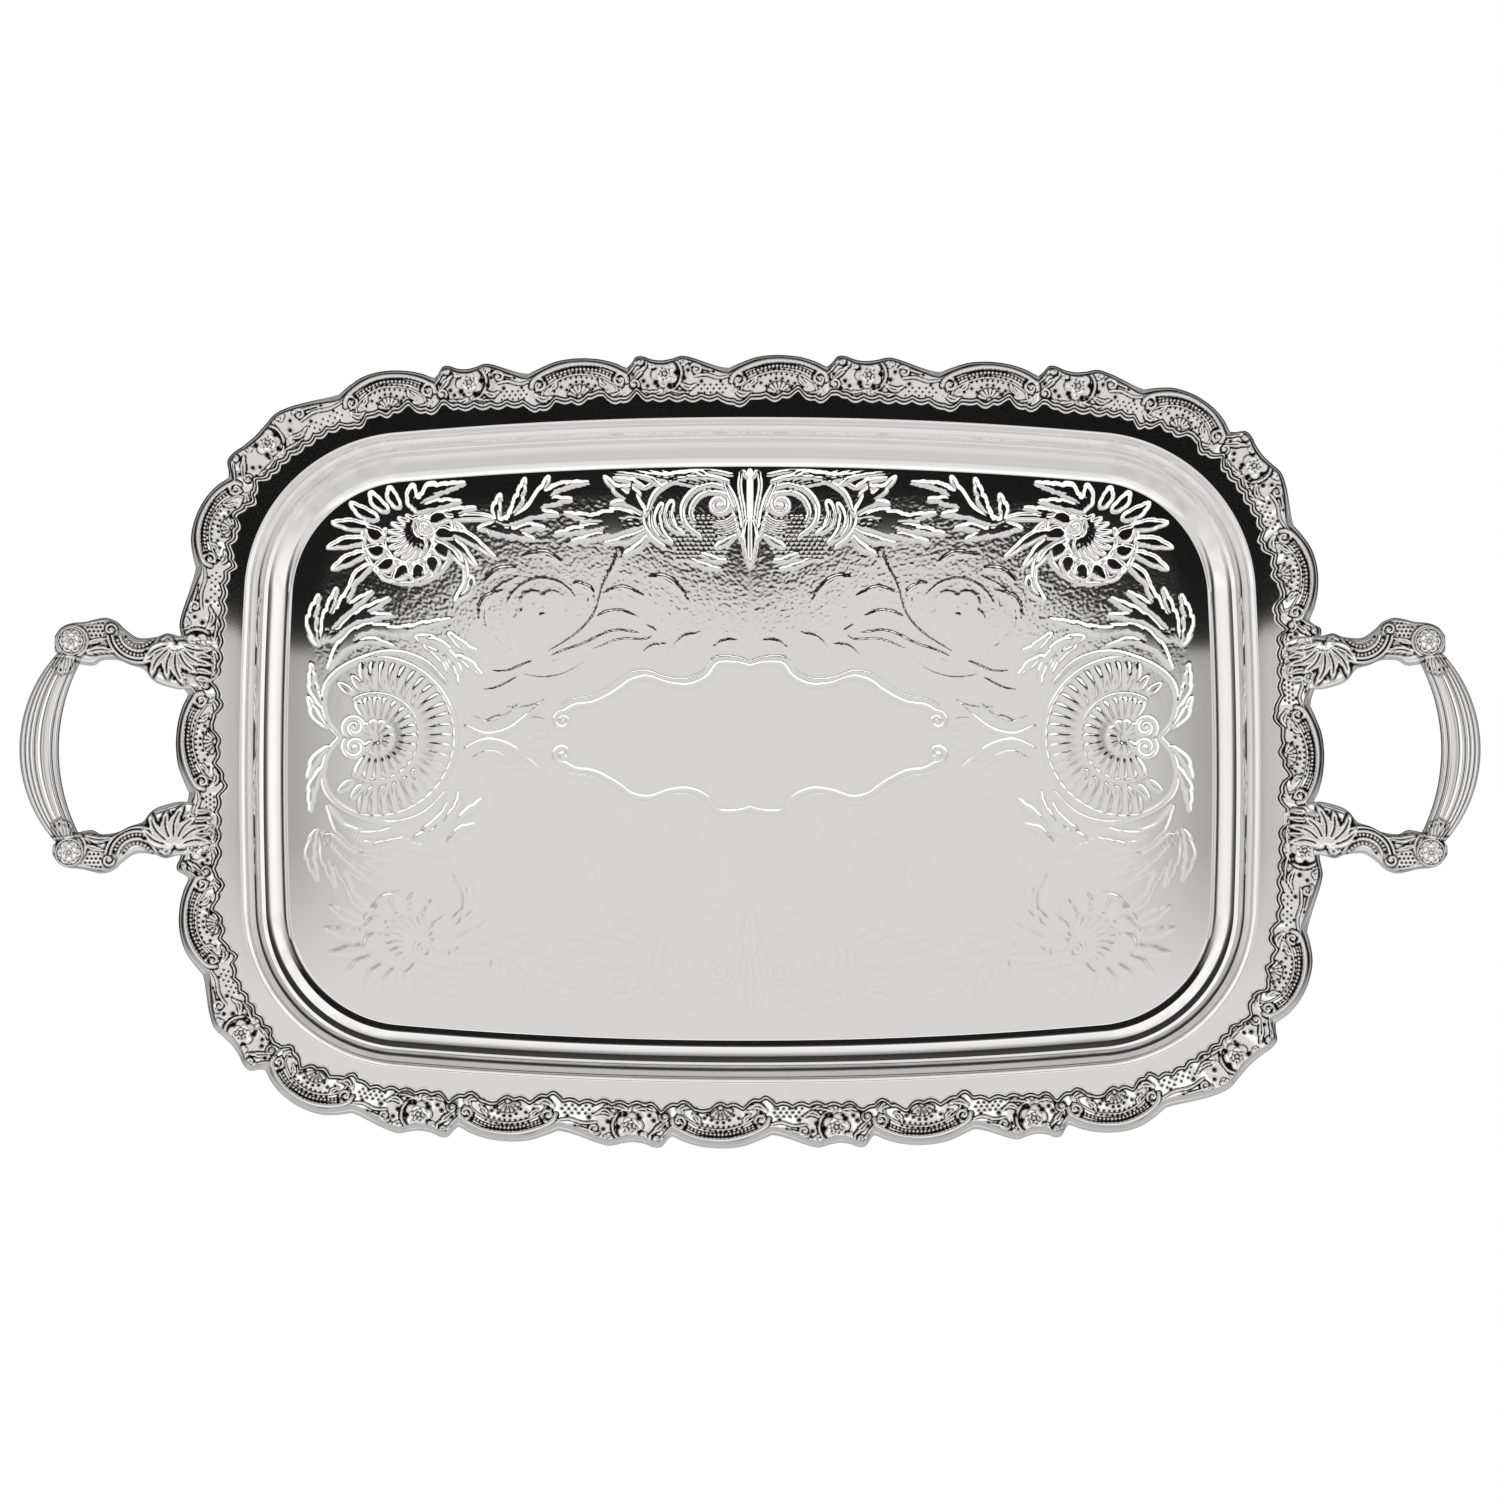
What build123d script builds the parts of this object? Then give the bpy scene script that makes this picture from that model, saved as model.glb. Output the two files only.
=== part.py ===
from build123d import *
import os
from math import asin, atan2, cos, degrees, pi, radians, sin, sqrt

# Silver-plated two-handled serving tray, millimetres.
# Origin: on the surface it rests on, under the middle of the tray.
# +X runs along the long side through the handles, +Y to the back, +Z up.

# --- driving dimensions of the pressed pan ---------------------------------
FLOOR_HALF_LENGTH = 206.3    # flat floor, middle to the foot of the bouge
FLOOR_HALF_DEPTH = 128.3
CORNER_RADIUS = 53.0         # floor line at the corners
LONG_SIDE_RADIUS = 1780.0    # the sides bow out slightly
SHORT_SIDE_RADIUS = 1560.0
SHEET = 1.2                  # thickness of the pressed sheet
FLANGE_TOP = 16.0            # upper face of the flange above the table
FLANGE_OUT = 40.0            # edge of the flange, measured out from the floor line
# profile of the wall's upper face: distance out from the floor line, height
COVE_RADIUS = 9.3            # first cove, leaving the floor level
COVE_OUT = 8.6
SECOND_COVE = ((9.6, 6.6), (13.4, 8.4), (15.4, 12.4))
WALL_TOP = (20.0, FLANGE_TOP - SHEET)

# --- cast border ------------------------------------------------------------
BORDER_IN = 25.0             # inner edge, measured out from the floor line
BORDER_TOP = 19.6            # ground of the casting
BORDER_SKIRT = 13.6          # lower edge of the lip round the flange
SHELL_TOP = 21.0             # raised shells and blossoms
STATION_LINE = 45.0          # line along which the shells are set out
# shells of one half turn, clockwise from the middle of the back; the other
# half repeats them point for point
SHELL_STATIONS = (-163.0, -77.0, 12.5, 107.0, 199.0, 295.0, 377.0, 478.0)
SHELL_HALF = 23.0            # half the length of a shell along the border
SHELL_CREST = 48.7           # outermost point of a shell
VALLEY = 43.0                # outer edge between the shells
# outer edge of the blossoms between two shells: share of the gap, distance out
BLOSSOM_EDGE = ((0.0, VALLEY), (0.13, 47.8), (0.3, 46.0), (0.52, 47.6), (0.8, 44.0), (1.0, VALLEY))
SHELL_BOSS_HALF = 20.0       # raised lens of a shell: half length, inner and outer edge
SHELL_BOSS_IN = 30.0
SHELL_BOSS_OUT = 45.2
BLOSSOM_BACK = 8.0           # blossom's centre, short of the middle of its gap
BLOSSOM_RADIUS = 6.0
WEDGE_IN = 5.0               # cutter of a casting: from inside the border to beyond it
WEDGE_OUT = 60.0
WEDGE_PEAK = 80.0

# --- handles ------------------------------------------------------------------
GRIP_LOW = 15.5
GRIP_HIGH = 26.5
GRIP_MID_OUT = 323.5         # outer edge of the bow at its middle
GRIP_MID_IN = 306.0
GRIP_END_OUT = (308.5, 39.0)
GRIP_END_IN = (296.5, 36.5)
GRIP_ROUND = 4.6
LONG_EDGE = 30.0             # edges of the handles longer than this are rounded
TENON_DIAMETER = 5.0
TENON_LENGTH = 6.0
ARM_LOW = 14.6
ARM_HIGH = 25.5
ARM_ROUND = 2.6
ARM_FOOT = (240.0, 50.5)     # outer edge of an arm in plan, border to knee
ARM_WAIST = ((258.0, 48.5), (272.0, 49.5), (284.5, 58.0), (296.0, 54.5))
ARM_KNEE = (306.0, 55.5)
ARM_INNER = ((283.0, 38.7), (270.0, 36.0), (262.0, 27.5), (252.0, 25.0), (240.0, 25.0))
PALM_LOW = 10.8              # tongue of the arm under the flange
PALM_IN = 26.0               # tongue's inner end, measured out from the floor line
PALM_OUT = 262.0             # tongue's outer end, from the middle of the tray
PALM_HALF_WIDTH = 11.0
BACK_ARM_Y = 39.5            # where the arms' tongues lie
FRONT_ARM_Y = -36.5
ROSETTE_DIAMETER = 13.0
ROSETTE_HEIGHT = 3.2
ROSETTE_ROUND = 1.0
BUTTON_HEIGHT = 1.2
BUTTON_SHARE = 0.4           # button's radius as a share of the rosette's
KNEE_X = 300.5
BACK_KNEE_Y = 47.0
FRONT_KNEE_Y = -46.8

# --- fixings under the flange --------------------------------------------------
STUD_DIAMETER = 4.0
STUD_HOLE = 4.4
STUD_OUT = 33.0              # stud line, measured out from the floor line
STUD_SPREAD = 6.5            # each arm has two studs, this far either side
WASHER_DIAMETER = 9.0
WASHER_THICKNESS = 0.8
NUT_ACROSS_FLATS = 7.0
NUT_HEIGHT = 4.6
NUT_CAP = 1.0                # metal over the end of the stud

OVERLAP = 1.0                # how far cutters and pegs run past a face
ARC_ROUNDS = 40              # rounds that settle the corner's centre


# --- the four-centred outline ---------------------------------------------------
def corner_centre():
    """Centre of the corner arc that runs smoothly into both side arcs."""
    x = FLOOR_HALF_LENGTH - CORNER_RADIUS
    y = FLOOR_HALF_DEPTH - CORNER_RADIUS
    for _ in range(ARC_ROUNDS):
        long_reach = sqrt((LONG_SIDE_RADIUS - CORNER_RADIUS) ** 2 - x * x)
        y = FLOOR_HALF_DEPTH - LONG_SIDE_RADIUS + long_reach
        short_reach = sqrt((SHORT_SIDE_RADIUS - CORNER_RADIUS) ** 2 - y * y)
        x = FLOOR_HALF_LENGTH - SHORT_SIDE_RADIUS + short_reach
    return x, y


CORNER_X, CORNER_Y = corner_centre()
LONG_HALF_ANGLE = asin(CORNER_X / (LONG_SIDE_RADIUS - CORNER_RADIUS))
SHORT_HALF_ANGLE = asin(CORNER_Y / (SHORT_SIDE_RADIUS - CORNER_RADIUS))


def outline_arcs():
    """The outline's arcs, clockwise from the middle of the back.

    Each is (centre x, centre y, radius, first angle, last angle) in radians.
    """
    side = pi / 2 - LONG_HALF_ANGLE
    long_y = FLOOR_HALF_DEPTH - LONG_SIDE_RADIUS
    short_x = FLOOR_HALF_LENGTH - SHORT_SIDE_RADIUS
    half = [
        (0.0, long_y, LONG_SIDE_RADIUS, pi / 2, side),
        (CORNER_X, CORNER_Y, CORNER_RADIUS, side, SHORT_HALF_ANGLE),
        (short_x, 0.0, SHORT_SIDE_RADIUS, SHORT_HALF_ANGLE, -SHORT_HALF_ANGLE),
        (CORNER_X, -CORNER_Y, CORNER_RADIUS, -SHORT_HALF_ANGLE, -side),
        (0.0, -long_y, LONG_SIDE_RADIUS, -side, -pi / 2),
    ]
    return half + [(-x, -y, r, first - pi, last - pi) for x, y, r, first, last in half]


ARCS = outline_arcs()
HALF_TURN = sum((r + STATION_LINE) * (first - last) for _, _, r, first, last in ARCS) / 2


def rim_point(station, out):
    """The point at a station along the border, a distance out from the floor line."""
    left = station % (2 * HALF_TURN)
    for x, y, radius, first, last in ARCS:
        length = (radius + STATION_LINE) * (first - last)
        if left <= length:
            break
        left -= length
    angle = first - left / (radius + STATION_LINE)
    return x + (radius + out) * cos(angle), y + (radius + out) * sin(angle)


def outline_face(out):
    """The flat face inside the outline, moved a distance out from the floor line."""
    arcs = [
        CenterArc((x, y), radius + out, degrees(last), degrees(first - last))
        for x, y, radius, first, last in ARCS
    ]
    return Face(Wire(arcs))


def slab(face, low, high):
    """A flat face in plan made a plate between two heights."""
    return Pos(0, 0, low) * extrude(face, high - low, dir=(0, 0, 1))


# --- pan -------------------------------------------------------------------------
def cove_points(depth):
    """Start, middle and end of the first cove, a depth below the sheet's upper face."""
    sweep = asin(COVE_OUT / COVE_RADIUS)
    reach = COVE_RADIUS + depth
    turns = (0.0, sweep / 2, sweep)
    return [(reach * sin(turn), COVE_RADIUS - reach * cos(turn)) for turn in turns]


def wall_section(radius):
    """Section of wall and flange, at a radius from an arc's centre, in plan x = radius."""
    def spot(point, shift=0.0):
        return radius + point[0] + shift, SHEET + point[1] - shift

    inside = [spot(point) for point in cove_points(0.0)]
    outside = [spot(point) for point in cove_points(SHEET)]
    upper_cove = [spot(point) for point in SECOND_COVE]
    lower_cove = [spot(point, SHEET * sin(pi / 4)) for point in SECOND_COVE]
    wall_top = spot(WALL_TOP)
    flange_edge = radius + FLANGE_OUT
    flange_low = FLANGE_TOP - SHEET
    return Face(Wire([
        ThreePointArc(*inside),
        Line(inside[-1], upper_cove[0]),
        ThreePointArc(*upper_cove),
        Line(upper_cove[-1], wall_top),
        Line(wall_top, (flange_edge, FLANGE_TOP)),
        Line((flange_edge, FLANGE_TOP), (flange_edge, flange_low)),
        Line((flange_edge, flange_low), (wall_top[0] + SHEET, flange_low)),
        Line((wall_top[0] + SHEET, flange_low), lower_cove[-1]),
        ThreePointArc(*reversed(lower_cove)),
        Line(lower_cove[0], outside[-1]),
        ThreePointArc(*reversed(outside)),
        Line(outside[0], inside[0]),
    ]))


def wall_segment(arc):
    """Wall and flange along one arc of the outline."""
    x, y, radius, first, last = arc
    plane = Plane(
        origin=(x, y, 0),
        x_dir=(cos(first), sin(first), 0),
        z_dir=(sin(first), -cos(first), 0),
    )
    upright = Axis((x, y, 0), (0, 0, 1))
    return revolve(plane * wall_section(radius), upright, -degrees(first - last))


def stud_places(side, arm_y):
    """Centres of the two studs that hold one arm; side is 1 at the right, -1 at the left."""
    places = []
    for shift in (-STUD_SPREAD, STUD_SPREAD):
        y = arm_y + shift
        x = FLOOR_HALF_LENGTH - SHORT_SIDE_RADIUS
        x += sqrt((SHORT_SIDE_RADIUS + STUD_OUT) ** 2 - y * y)
        places.append((side * x, y))
    return places


ALL_STUDS = [
    place
    for side in (-1, 1)
    for arm_y in (BACK_ARM_Y, FRONT_ARM_Y)
    for place in stud_places(side, arm_y)
]


def upright_rod(place, diameter, low, high):
    x, y = place
    return Pos(x, y, 0) * slab(Circle(diameter / 2), low, high)


def tray_pan():
    """Floor, stepped wall and flange, pressed from one sheet."""
    pan = slab(outline_face(0.0), 0, SHEET)
    for arc in ARCS:
        pan += wall_segment(arc)
    for place in ALL_STUDS:
        pan -= upright_rod(place, STUD_HOLE, 0, SHELL_TOP)
    return pan


# --- border ------------------------------------------------------------------------
def shell_stations():
    """All sixteen shells, clockwise, with the first one repeated at the end."""
    half = list(SHELL_STATIONS)
    stations = half + [s + HALF_TURN for s in half]
    return stations + [stations[0] + 2 * HALF_TURN]


STATIONS = shell_stations()
SHELLS = len(STATIONS) - 1


def scalloped_outline():
    """Outer edge of the border: a broad arc at each shell, a wavy line between."""
    edges = []
    for here, following in zip(STATIONS, STATIONS[1:]):
        start = here + SHELL_HALF
        edges.append(ThreePointArc(
            rim_point(here - SHELL_HALF, VALLEY),
            rim_point(here, SHELL_CREST),
            rim_point(start, VALLEY),
        ))
        gap = following - SHELL_HALF - start
        edges.append(Spline([rim_point(start + share * gap, out) for share, out in BLOSSOM_EDGE]))
    return Face(Wire(edges))


def border_ring():
    """The whole border before it is cut into castings: top plate and lip."""
    outer = scalloped_outline()
    plate = slab(outer, FLANGE_TOP, BORDER_TOP) - slab(outline_face(BORDER_IN), 0, SHELL_TOP)
    lip = slab(outer, BORDER_SKIRT, FLANGE_TOP) - slab(outline_face(FLANGE_OUT), 0, SHELL_TOP)
    return plate + lip


def shell_boss(station):
    """Raised shell: a lens that follows the border's outer edge."""
    middle = (SHELL_BOSS_IN + SHELL_BOSS_OUT) / 2
    first = rim_point(station - SHELL_BOSS_HALF, middle)
    last = rim_point(station + SHELL_BOSS_HALF, middle)
    edges = [
        ThreePointArc(first, rim_point(station, SHELL_BOSS_OUT), last),
        ThreePointArc(last, rim_point(station, SHELL_BOSS_IN), first),
    ]
    return slab(Face(Wire(edges)), BORDER_TOP, SHELL_TOP)


def blossom_boss(station):
    """Raised blossom between two shells."""
    x, y = rim_point(station, (BORDER_IN + VALLEY) / 2)
    return Pos(x, y, 0) * slab(Circle(BLOSSOM_RADIUS), BORDER_TOP, SHELL_TOP)


def unit_wedge(index):
    """Upright wedge that cuts one casting out of the ring, joint line to joint line."""
    before = STATIONS[index - 1] if index else STATIONS[-2] - 2 * HALF_TURN
    here = STATIONS[index]
    start = (before + here) / 2
    end = (here + STATIONS[index + 1]) / 2
    corners = [
        rim_point(start, WEDGE_IN),
        rim_point(start, WEDGE_OUT),
        rim_point(here, WEDGE_PEAK),
        rim_point(end, WEDGE_OUT),
        rim_point(end, WEDGE_IN),
    ]
    return slab(make_face(Polyline(*corners, close=True)), 0, SHELL_TOP + OVERLAP)


def border_casting(index, ring):
    """One cast mount: a shell with half of the blossoms on each side of it."""
    here = STATIONS[index]
    gap = STATIONS[index + 1] - here
    casting = ring & unit_wedge(index)
    casting += shell_boss(here)
    return casting + blossom_boss(here + gap / 2 - BLOSSOM_BACK)


# --- handles (drawn at the right, mirrored for the left) ------------------------------
def rounded(solid, radius):
    """Round the long edges of the top and bottom faces."""
    faces = solid.faces().sort_by(Axis.Z)
    edges = faces[-1].edges() + faces[0].edges()
    return fillet([edge for edge in edges if edge.length > LONG_EDGE], radius)


def handle_grip():
    """Bowed grip with a tenon at each end."""
    out_x, out_y = GRIP_END_OUT
    in_x, in_y = GRIP_END_IN
    edges = [
        ThreePointArc((out_x, out_y), (GRIP_MID_OUT, 0), (out_x, -out_y)),
        Line((out_x, -out_y), (in_x, -in_y)),
        ThreePointArc((in_x, -in_y), (GRIP_MID_IN, 0), (in_x, in_y)),
        Line((in_x, in_y), (out_x, out_y)),
    ]
    grip = rounded(slab(Face(Wire(edges)), GRIP_LOW, GRIP_HIGH), GRIP_ROUND)
    lean = degrees(atan2(out_y - in_y, out_x - in_x))
    x = (out_x + in_x) / 2
    y = (out_y + in_y) / 2
    middle = (GRIP_LOW + GRIP_HIGH) / 2
    for hand in (1, -1):
        rod = slab(Circle(TENON_DIAMETER / 2), 0, TENON_LENGTH + OVERLAP)
        peg = Rot(0, 0, hand * lean) * Rot(-90 * hand, 0, 0) * rod
        step_x = OVERLAP * sin(radians(lean))
        step_y = OVERLAP * hand * cos(radians(lean))
        grip += Pos(x + step_x, hand * y - step_y, middle) * peg
    return grip


def arm_plan(hand):
    """Plan of one arm from the border to the knee; hand is 1 at the back, -1 in front."""
    edges = [
        Spline(ARM_FOOT, *ARM_WAIST, ARM_KNEE),
        Line(ARM_KNEE, GRIP_END_OUT),
        Line(GRIP_END_OUT, GRIP_END_IN),
        Spline(GRIP_END_IN, *ARM_INNER),
        Line(ARM_INNER[-1], ARM_FOOT),
    ]
    face = Face(Wire(edges))
    return face if hand > 0 else mirror(face, Plane.XZ)


def handle_arm(hand, neighbours):
    """Cast arm: knee, scrolled stem and a tongue under the flange."""
    stem = rounded(slab(arm_plan(hand), ARM_LOW, ARM_HIGH), ARM_ROUND)
    arm_y = BACK_ARM_Y if hand > 0 else FRONT_ARM_Y
    palm_start = FLOOR_HALF_LENGTH + PALM_IN
    palm_plan = Rectangle(PALM_OUT - palm_start, 2 * PALM_HALF_WIDTH)
    palm_place = Pos((palm_start + PALM_OUT) / 2, arm_y, 0)
    palm = palm_place * slab(palm_plan, PALM_LOW, ARM_LOW + ARM_ROUND)
    arm = stem + palm
    for neighbour in neighbours:
        arm -= neighbour
    arm -= slab(outline_face(STATION_LINE), FLANGE_TOP - SHEET, 2 * SHELL_TOP)
    for place in stud_places(1, arm_y):
        arm -= upright_rod(place, STUD_HOLE, 0, SHELL_TOP)
    return arm.solids().sort_by(SortBy.VOLUME)[-1]


def rosette(y):
    """Rosette on top of a knee: a rounded disc with a button in the middle."""
    radius = ROSETTE_DIAMETER / 2
    disc = slab(Circle(radius), 0, ROSETTE_HEIGHT - BUTTON_HEIGHT)
    disc = fillet(disc.edges().sort_by(Axis.Z)[-1], ROSETTE_ROUND)
    button = slab(Circle(radius * BUTTON_SHARE), 0, ROSETTE_HEIGHT)
    button = fillet(button.edges().sort_by(Axis.Z)[-1], ROSETTE_ROUND)
    return Pos(KNEE_X, y, ARM_HIGH) * (disc + button)


# --- fixings --------------------------------------------------------------------------
def stud(place):
    low = PALM_LOW - WASHER_THICKNESS - NUT_HEIGHT + NUT_CAP
    return upright_rod(place, STUD_DIAMETER, low, FLANGE_TOP)


def washer(place):
    x, y = place
    disc = Circle(WASHER_DIAMETER / 2) - Circle(STUD_DIAMETER / 2)
    return Pos(x, y, 0) * slab(disc, PALM_LOW - WASHER_THICKNESS, PALM_LOW)


def cap_nut(place):
    """Hexagon cap nut, closed below the end of its stud."""
    x, y = place
    top = PALM_LOW - WASHER_THICKNESS
    hexagon = RegularPolygon(NUT_ACROSS_FLATS / 2, 6, major_radius=False)
    body = Pos(x, y, 0) * slab(hexagon, top - NUT_HEIGHT, top)
    return body - stud(place)


def as_group(solids):
    return Compound(children=solids)


def write(name, shape):
    export_step(shape, os.path.join("parts", name + ".step"))


# --- write every sub-part ---------------------------------------------------------------
os.makedirs("parts", exist_ok=True)
write("tray_pan", tray_pan())

ring = border_ring()
castings = [border_casting(index, ring) for index in range(SHELLS)]
for index, casting in enumerate(castings):
    write(f"border_casting_{index + 1:02d}", casting)

right_grip = handle_grip()
right_arms = {
    "back": handle_arm(1, [right_grip] + castings),
    "front": handle_arm(-1, [right_grip] + castings),
}
rosettes = {"back": rosette(BACK_KNEE_Y), "front": rosette(FRONT_KNEE_Y)}
write("right_grip", right_grip)
write("left_grip", mirror(right_grip, Plane.YZ))
left_castings = [mirror(casting, Plane.YZ) for casting in castings]
left_arms = {
    "back": handle_arm(1, [right_grip] + left_castings),
    "front": handle_arm(-1, [right_grip] + left_castings),
}
for place in ("back", "front"):
    write(f"right_{place}_arm", right_arms[place])
    write(f"left_{place}_arm", mirror(left_arms[place], Plane.YZ))
    write(f"right_{place}_rosette", rosettes[place])
    write(f"left_{place}_rosette", mirror(rosettes[place], Plane.YZ))

write("handle_studs", as_group([stud(place) for place in ALL_STUDS]))
write("handle_washers", as_group([washer(place) for place in ALL_STUDS]))
write("handle_cap_nuts", as_group([cap_nut(place) for place in ALL_STUDS]))
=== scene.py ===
from math import asin, ceil, cos, hypot, pi, radians, sin, sqrt

import bmesh
import bpy
import numpy as np
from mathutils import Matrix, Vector


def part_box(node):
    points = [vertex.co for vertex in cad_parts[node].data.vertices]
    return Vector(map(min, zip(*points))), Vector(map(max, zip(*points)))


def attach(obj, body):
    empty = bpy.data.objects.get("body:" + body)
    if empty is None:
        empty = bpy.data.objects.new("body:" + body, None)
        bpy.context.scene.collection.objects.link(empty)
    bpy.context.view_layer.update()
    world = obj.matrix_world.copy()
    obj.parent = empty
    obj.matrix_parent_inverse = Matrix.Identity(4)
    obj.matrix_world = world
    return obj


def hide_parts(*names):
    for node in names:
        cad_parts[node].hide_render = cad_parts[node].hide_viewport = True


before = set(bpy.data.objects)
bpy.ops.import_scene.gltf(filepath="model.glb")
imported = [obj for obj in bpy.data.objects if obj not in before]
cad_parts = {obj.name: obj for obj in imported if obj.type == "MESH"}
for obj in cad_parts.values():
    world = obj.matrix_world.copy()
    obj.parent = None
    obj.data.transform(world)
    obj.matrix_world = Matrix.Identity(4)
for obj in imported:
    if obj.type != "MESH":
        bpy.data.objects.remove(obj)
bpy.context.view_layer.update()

# Lengths are millimetres in the frame's axes until a mesh is made.
MM = 0.001


def node_box(name):
    """Lowest and highest corner of a node, in millimetres."""
    low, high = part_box(name)
    return np.array(low) / MM, np.array(high) / MM


# --- sizes read from the frame ------------------------------------------------
PAN_LOW, PAN_HIGH = node_box("tray_pan")
FLANGE_OUT = 40.0                    # flange's edge, out from the floor line
FLOOR_HALF_LENGTH = PAN_HIGH[0] - FLANGE_OUT
FLOOR_HALF_DEPTH = PAN_HIGH[1] - FLANGE_OUT
FLANGE_TOP = PAN_HIGH[2]
SHEET = 1.2                          # thickness of the pressed sheet
CORNER_RADIUS = 53.0                 # arcs of the floor line
LONG_SIDE_RADIUS = 1780.0
SHORT_SIDE_RADIUS = 1560.0
STATION_LINE = 45.0                  # line along which the shells are set out
# shells of one half turn, clockwise from the middle of the back
SHELL_STATIONS = (-163.0, -77.0, 12.5, 107.0, 199.0, 295.0, 377.0, 478.0)
SHELL_HALF = 22.0
DECOR_SHIFT = 6.5                    # the embossed design sits this far to the back


# --- the four-centred outline ---------------------------------------------------
CENTRE_ROUNDS = 40                   # rounds until the corner's centre stands still
TINY = 1e-9


def corner_centre():
    """Centre of the corner arc that runs smoothly into both side arcs."""
    x = FLOOR_HALF_LENGTH - CORNER_RADIUS
    y = FLOOR_HALF_DEPTH - CORNER_RADIUS
    for _ in range(CENTRE_ROUNDS):
        long_reach = sqrt((LONG_SIDE_RADIUS - CORNER_RADIUS) ** 2 - x * x)
        y = FLOOR_HALF_DEPTH - LONG_SIDE_RADIUS + long_reach
        short_reach = sqrt((SHORT_SIDE_RADIUS - CORNER_RADIUS) ** 2 - y * y)
        x = FLOOR_HALF_LENGTH - SHORT_SIDE_RADIUS + short_reach
    return x, y


CORNER_X, CORNER_Y = corner_centre()
LONG_HALF_ANGLE = asin(CORNER_X / (LONG_SIDE_RADIUS - CORNER_RADIUS))
SHORT_HALF_ANGLE = asin(CORNER_Y / (SHORT_SIDE_RADIUS - CORNER_RADIUS))


def outline_arcs():
    """Arcs of the outline, clockwise from the middle of the back."""
    side = pi / 2 - LONG_HALF_ANGLE
    long_y = FLOOR_HALF_DEPTH - LONG_SIDE_RADIUS
    short_x = FLOOR_HALF_LENGTH - SHORT_SIDE_RADIUS
    half = [
        (0.0, long_y, LONG_SIDE_RADIUS, pi / 2, side),
        (CORNER_X, CORNER_Y, CORNER_RADIUS, side, SHORT_HALF_ANGLE),
        (short_x, 0.0, SHORT_SIDE_RADIUS, SHORT_HALF_ANGLE, -SHORT_HALF_ANGLE),
        (CORNER_X, -CORNER_Y, CORNER_RADIUS, -SHORT_HALF_ANGLE, -side),
        (0.0, -long_y, LONG_SIDE_RADIUS, -side, -pi / 2),
    ]
    return half + [(-x, -y, r, first - pi, last - pi) for x, y, r, first, last in half]


ARCS = outline_arcs()
ARC_LENGTHS = [(r + STATION_LINE) * (first - last) for _, _, r, first, last in ARCS]
HALF_TURN = sum(ARC_LENGTHS) / 2


def on_rim(station, out):
    """Plan points at stations along the border, at distances out from the floor line."""
    station = np.mod(station, 2 * HALF_TURN)
    x = np.zeros(np.broadcast(station, out).shape)
    y = np.zeros_like(x)
    start = 0.0
    for (cx, cy, radius, first, _), length in zip(ARCS, ARC_LENGTHS):
        here = (station >= start) & (station <= start + length + TINY)
        angle = first - (station - start) / (radius + STATION_LINE)
        x = np.where(here, cx + (radius + out) * np.cos(angle), x)
        y = np.where(here, cy + (radius + out) * np.sin(angle), y)
        start += length
    return x, y


def outside_floor(x, y):
    """Distance of plan points out from the floor line; negative on the floor."""
    ax = np.abs(x)
    ay = np.abs(y)
    corner = np.hypot(ax - CORNER_X, ay - CORNER_Y) - CORNER_RADIUS
    long_y = FLOOR_HALF_DEPTH - LONG_SIDE_RADIUS
    long_side = np.hypot(ax, ay - long_y) - LONG_SIDE_RADIUS
    short_x = FLOOR_HALF_LENGTH - SHORT_SIDE_RADIUS
    short_side = np.hypot(ax - short_x, ay) - SHORT_SIDE_RADIUS
    in_long = np.arctan2(ax, ay - long_y) < LONG_HALF_ANGLE
    in_short = np.arctan2(ay, ax - short_x) < SHORT_HALF_ANGLE
    inside = np.maximum(long_side, short_side)
    deep = (ax < CORNER_X) | (ay < CORNER_Y)
    return np.where(in_long, long_side, np.where(in_short, short_side, np.where(deep, inside, corner)))


# --- chasing tools: raise ornament on a sheet of height samples --------------------
def smooth(value):
    """0 to 1 with level ends."""
    value = np.clip(value, 0.0, 1.0)
    return value * value * (3 - 2 * value)


def curve(*points, steps=10):
    """A smooth line through the points."""
    p = np.array(points, float)
    if len(p) == 2:
        t = np.linspace(0, 1, steps + 1)[:, None]
        return p[0] + (p[1] - p[0]) * t
    ends = np.vstack([2 * p[0] - p[1], p, 2 * p[-1] - p[-2]])
    line = []
    for i in range(len(p) - 1):
        a, b, c, d = ends[i:i + 4]
        for t in np.linspace(0, 1, steps, endpoint=False):
            line.append(0.5 * (2 * b + (c - a) * t + (2 * a - 5 * b + 4 * c - d) * t * t
                               + (3 * b - a - 3 * c + d) * t ** 3))
    return np.array(line + [p[-1]])


def ring_arc(centre, radius, first, last, steps=28, squash=1.0):
    """Arc of a circle or ellipse, angles in degrees."""
    a = np.radians(np.linspace(first, last, steps))
    return np.stack([centre[0] + radius * np.cos(a), centre[1] + radius * squash * np.sin(a)], 1)


def spiral(centre, radius, first, turns, inner=0.12, steps=44):
    """Spiral from its outer end inwards; positive turns run anticlockwise."""
    t = np.linspace(0, 1, steps)
    a = np.radians(first) + 2 * pi * turns * t
    r = radius * (inner + (1 - inner) * (1 - t) ** 0.85)
    return np.stack([centre[0] + r * np.cos(a), centre[1] + r * np.sin(a)], 1)


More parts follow.
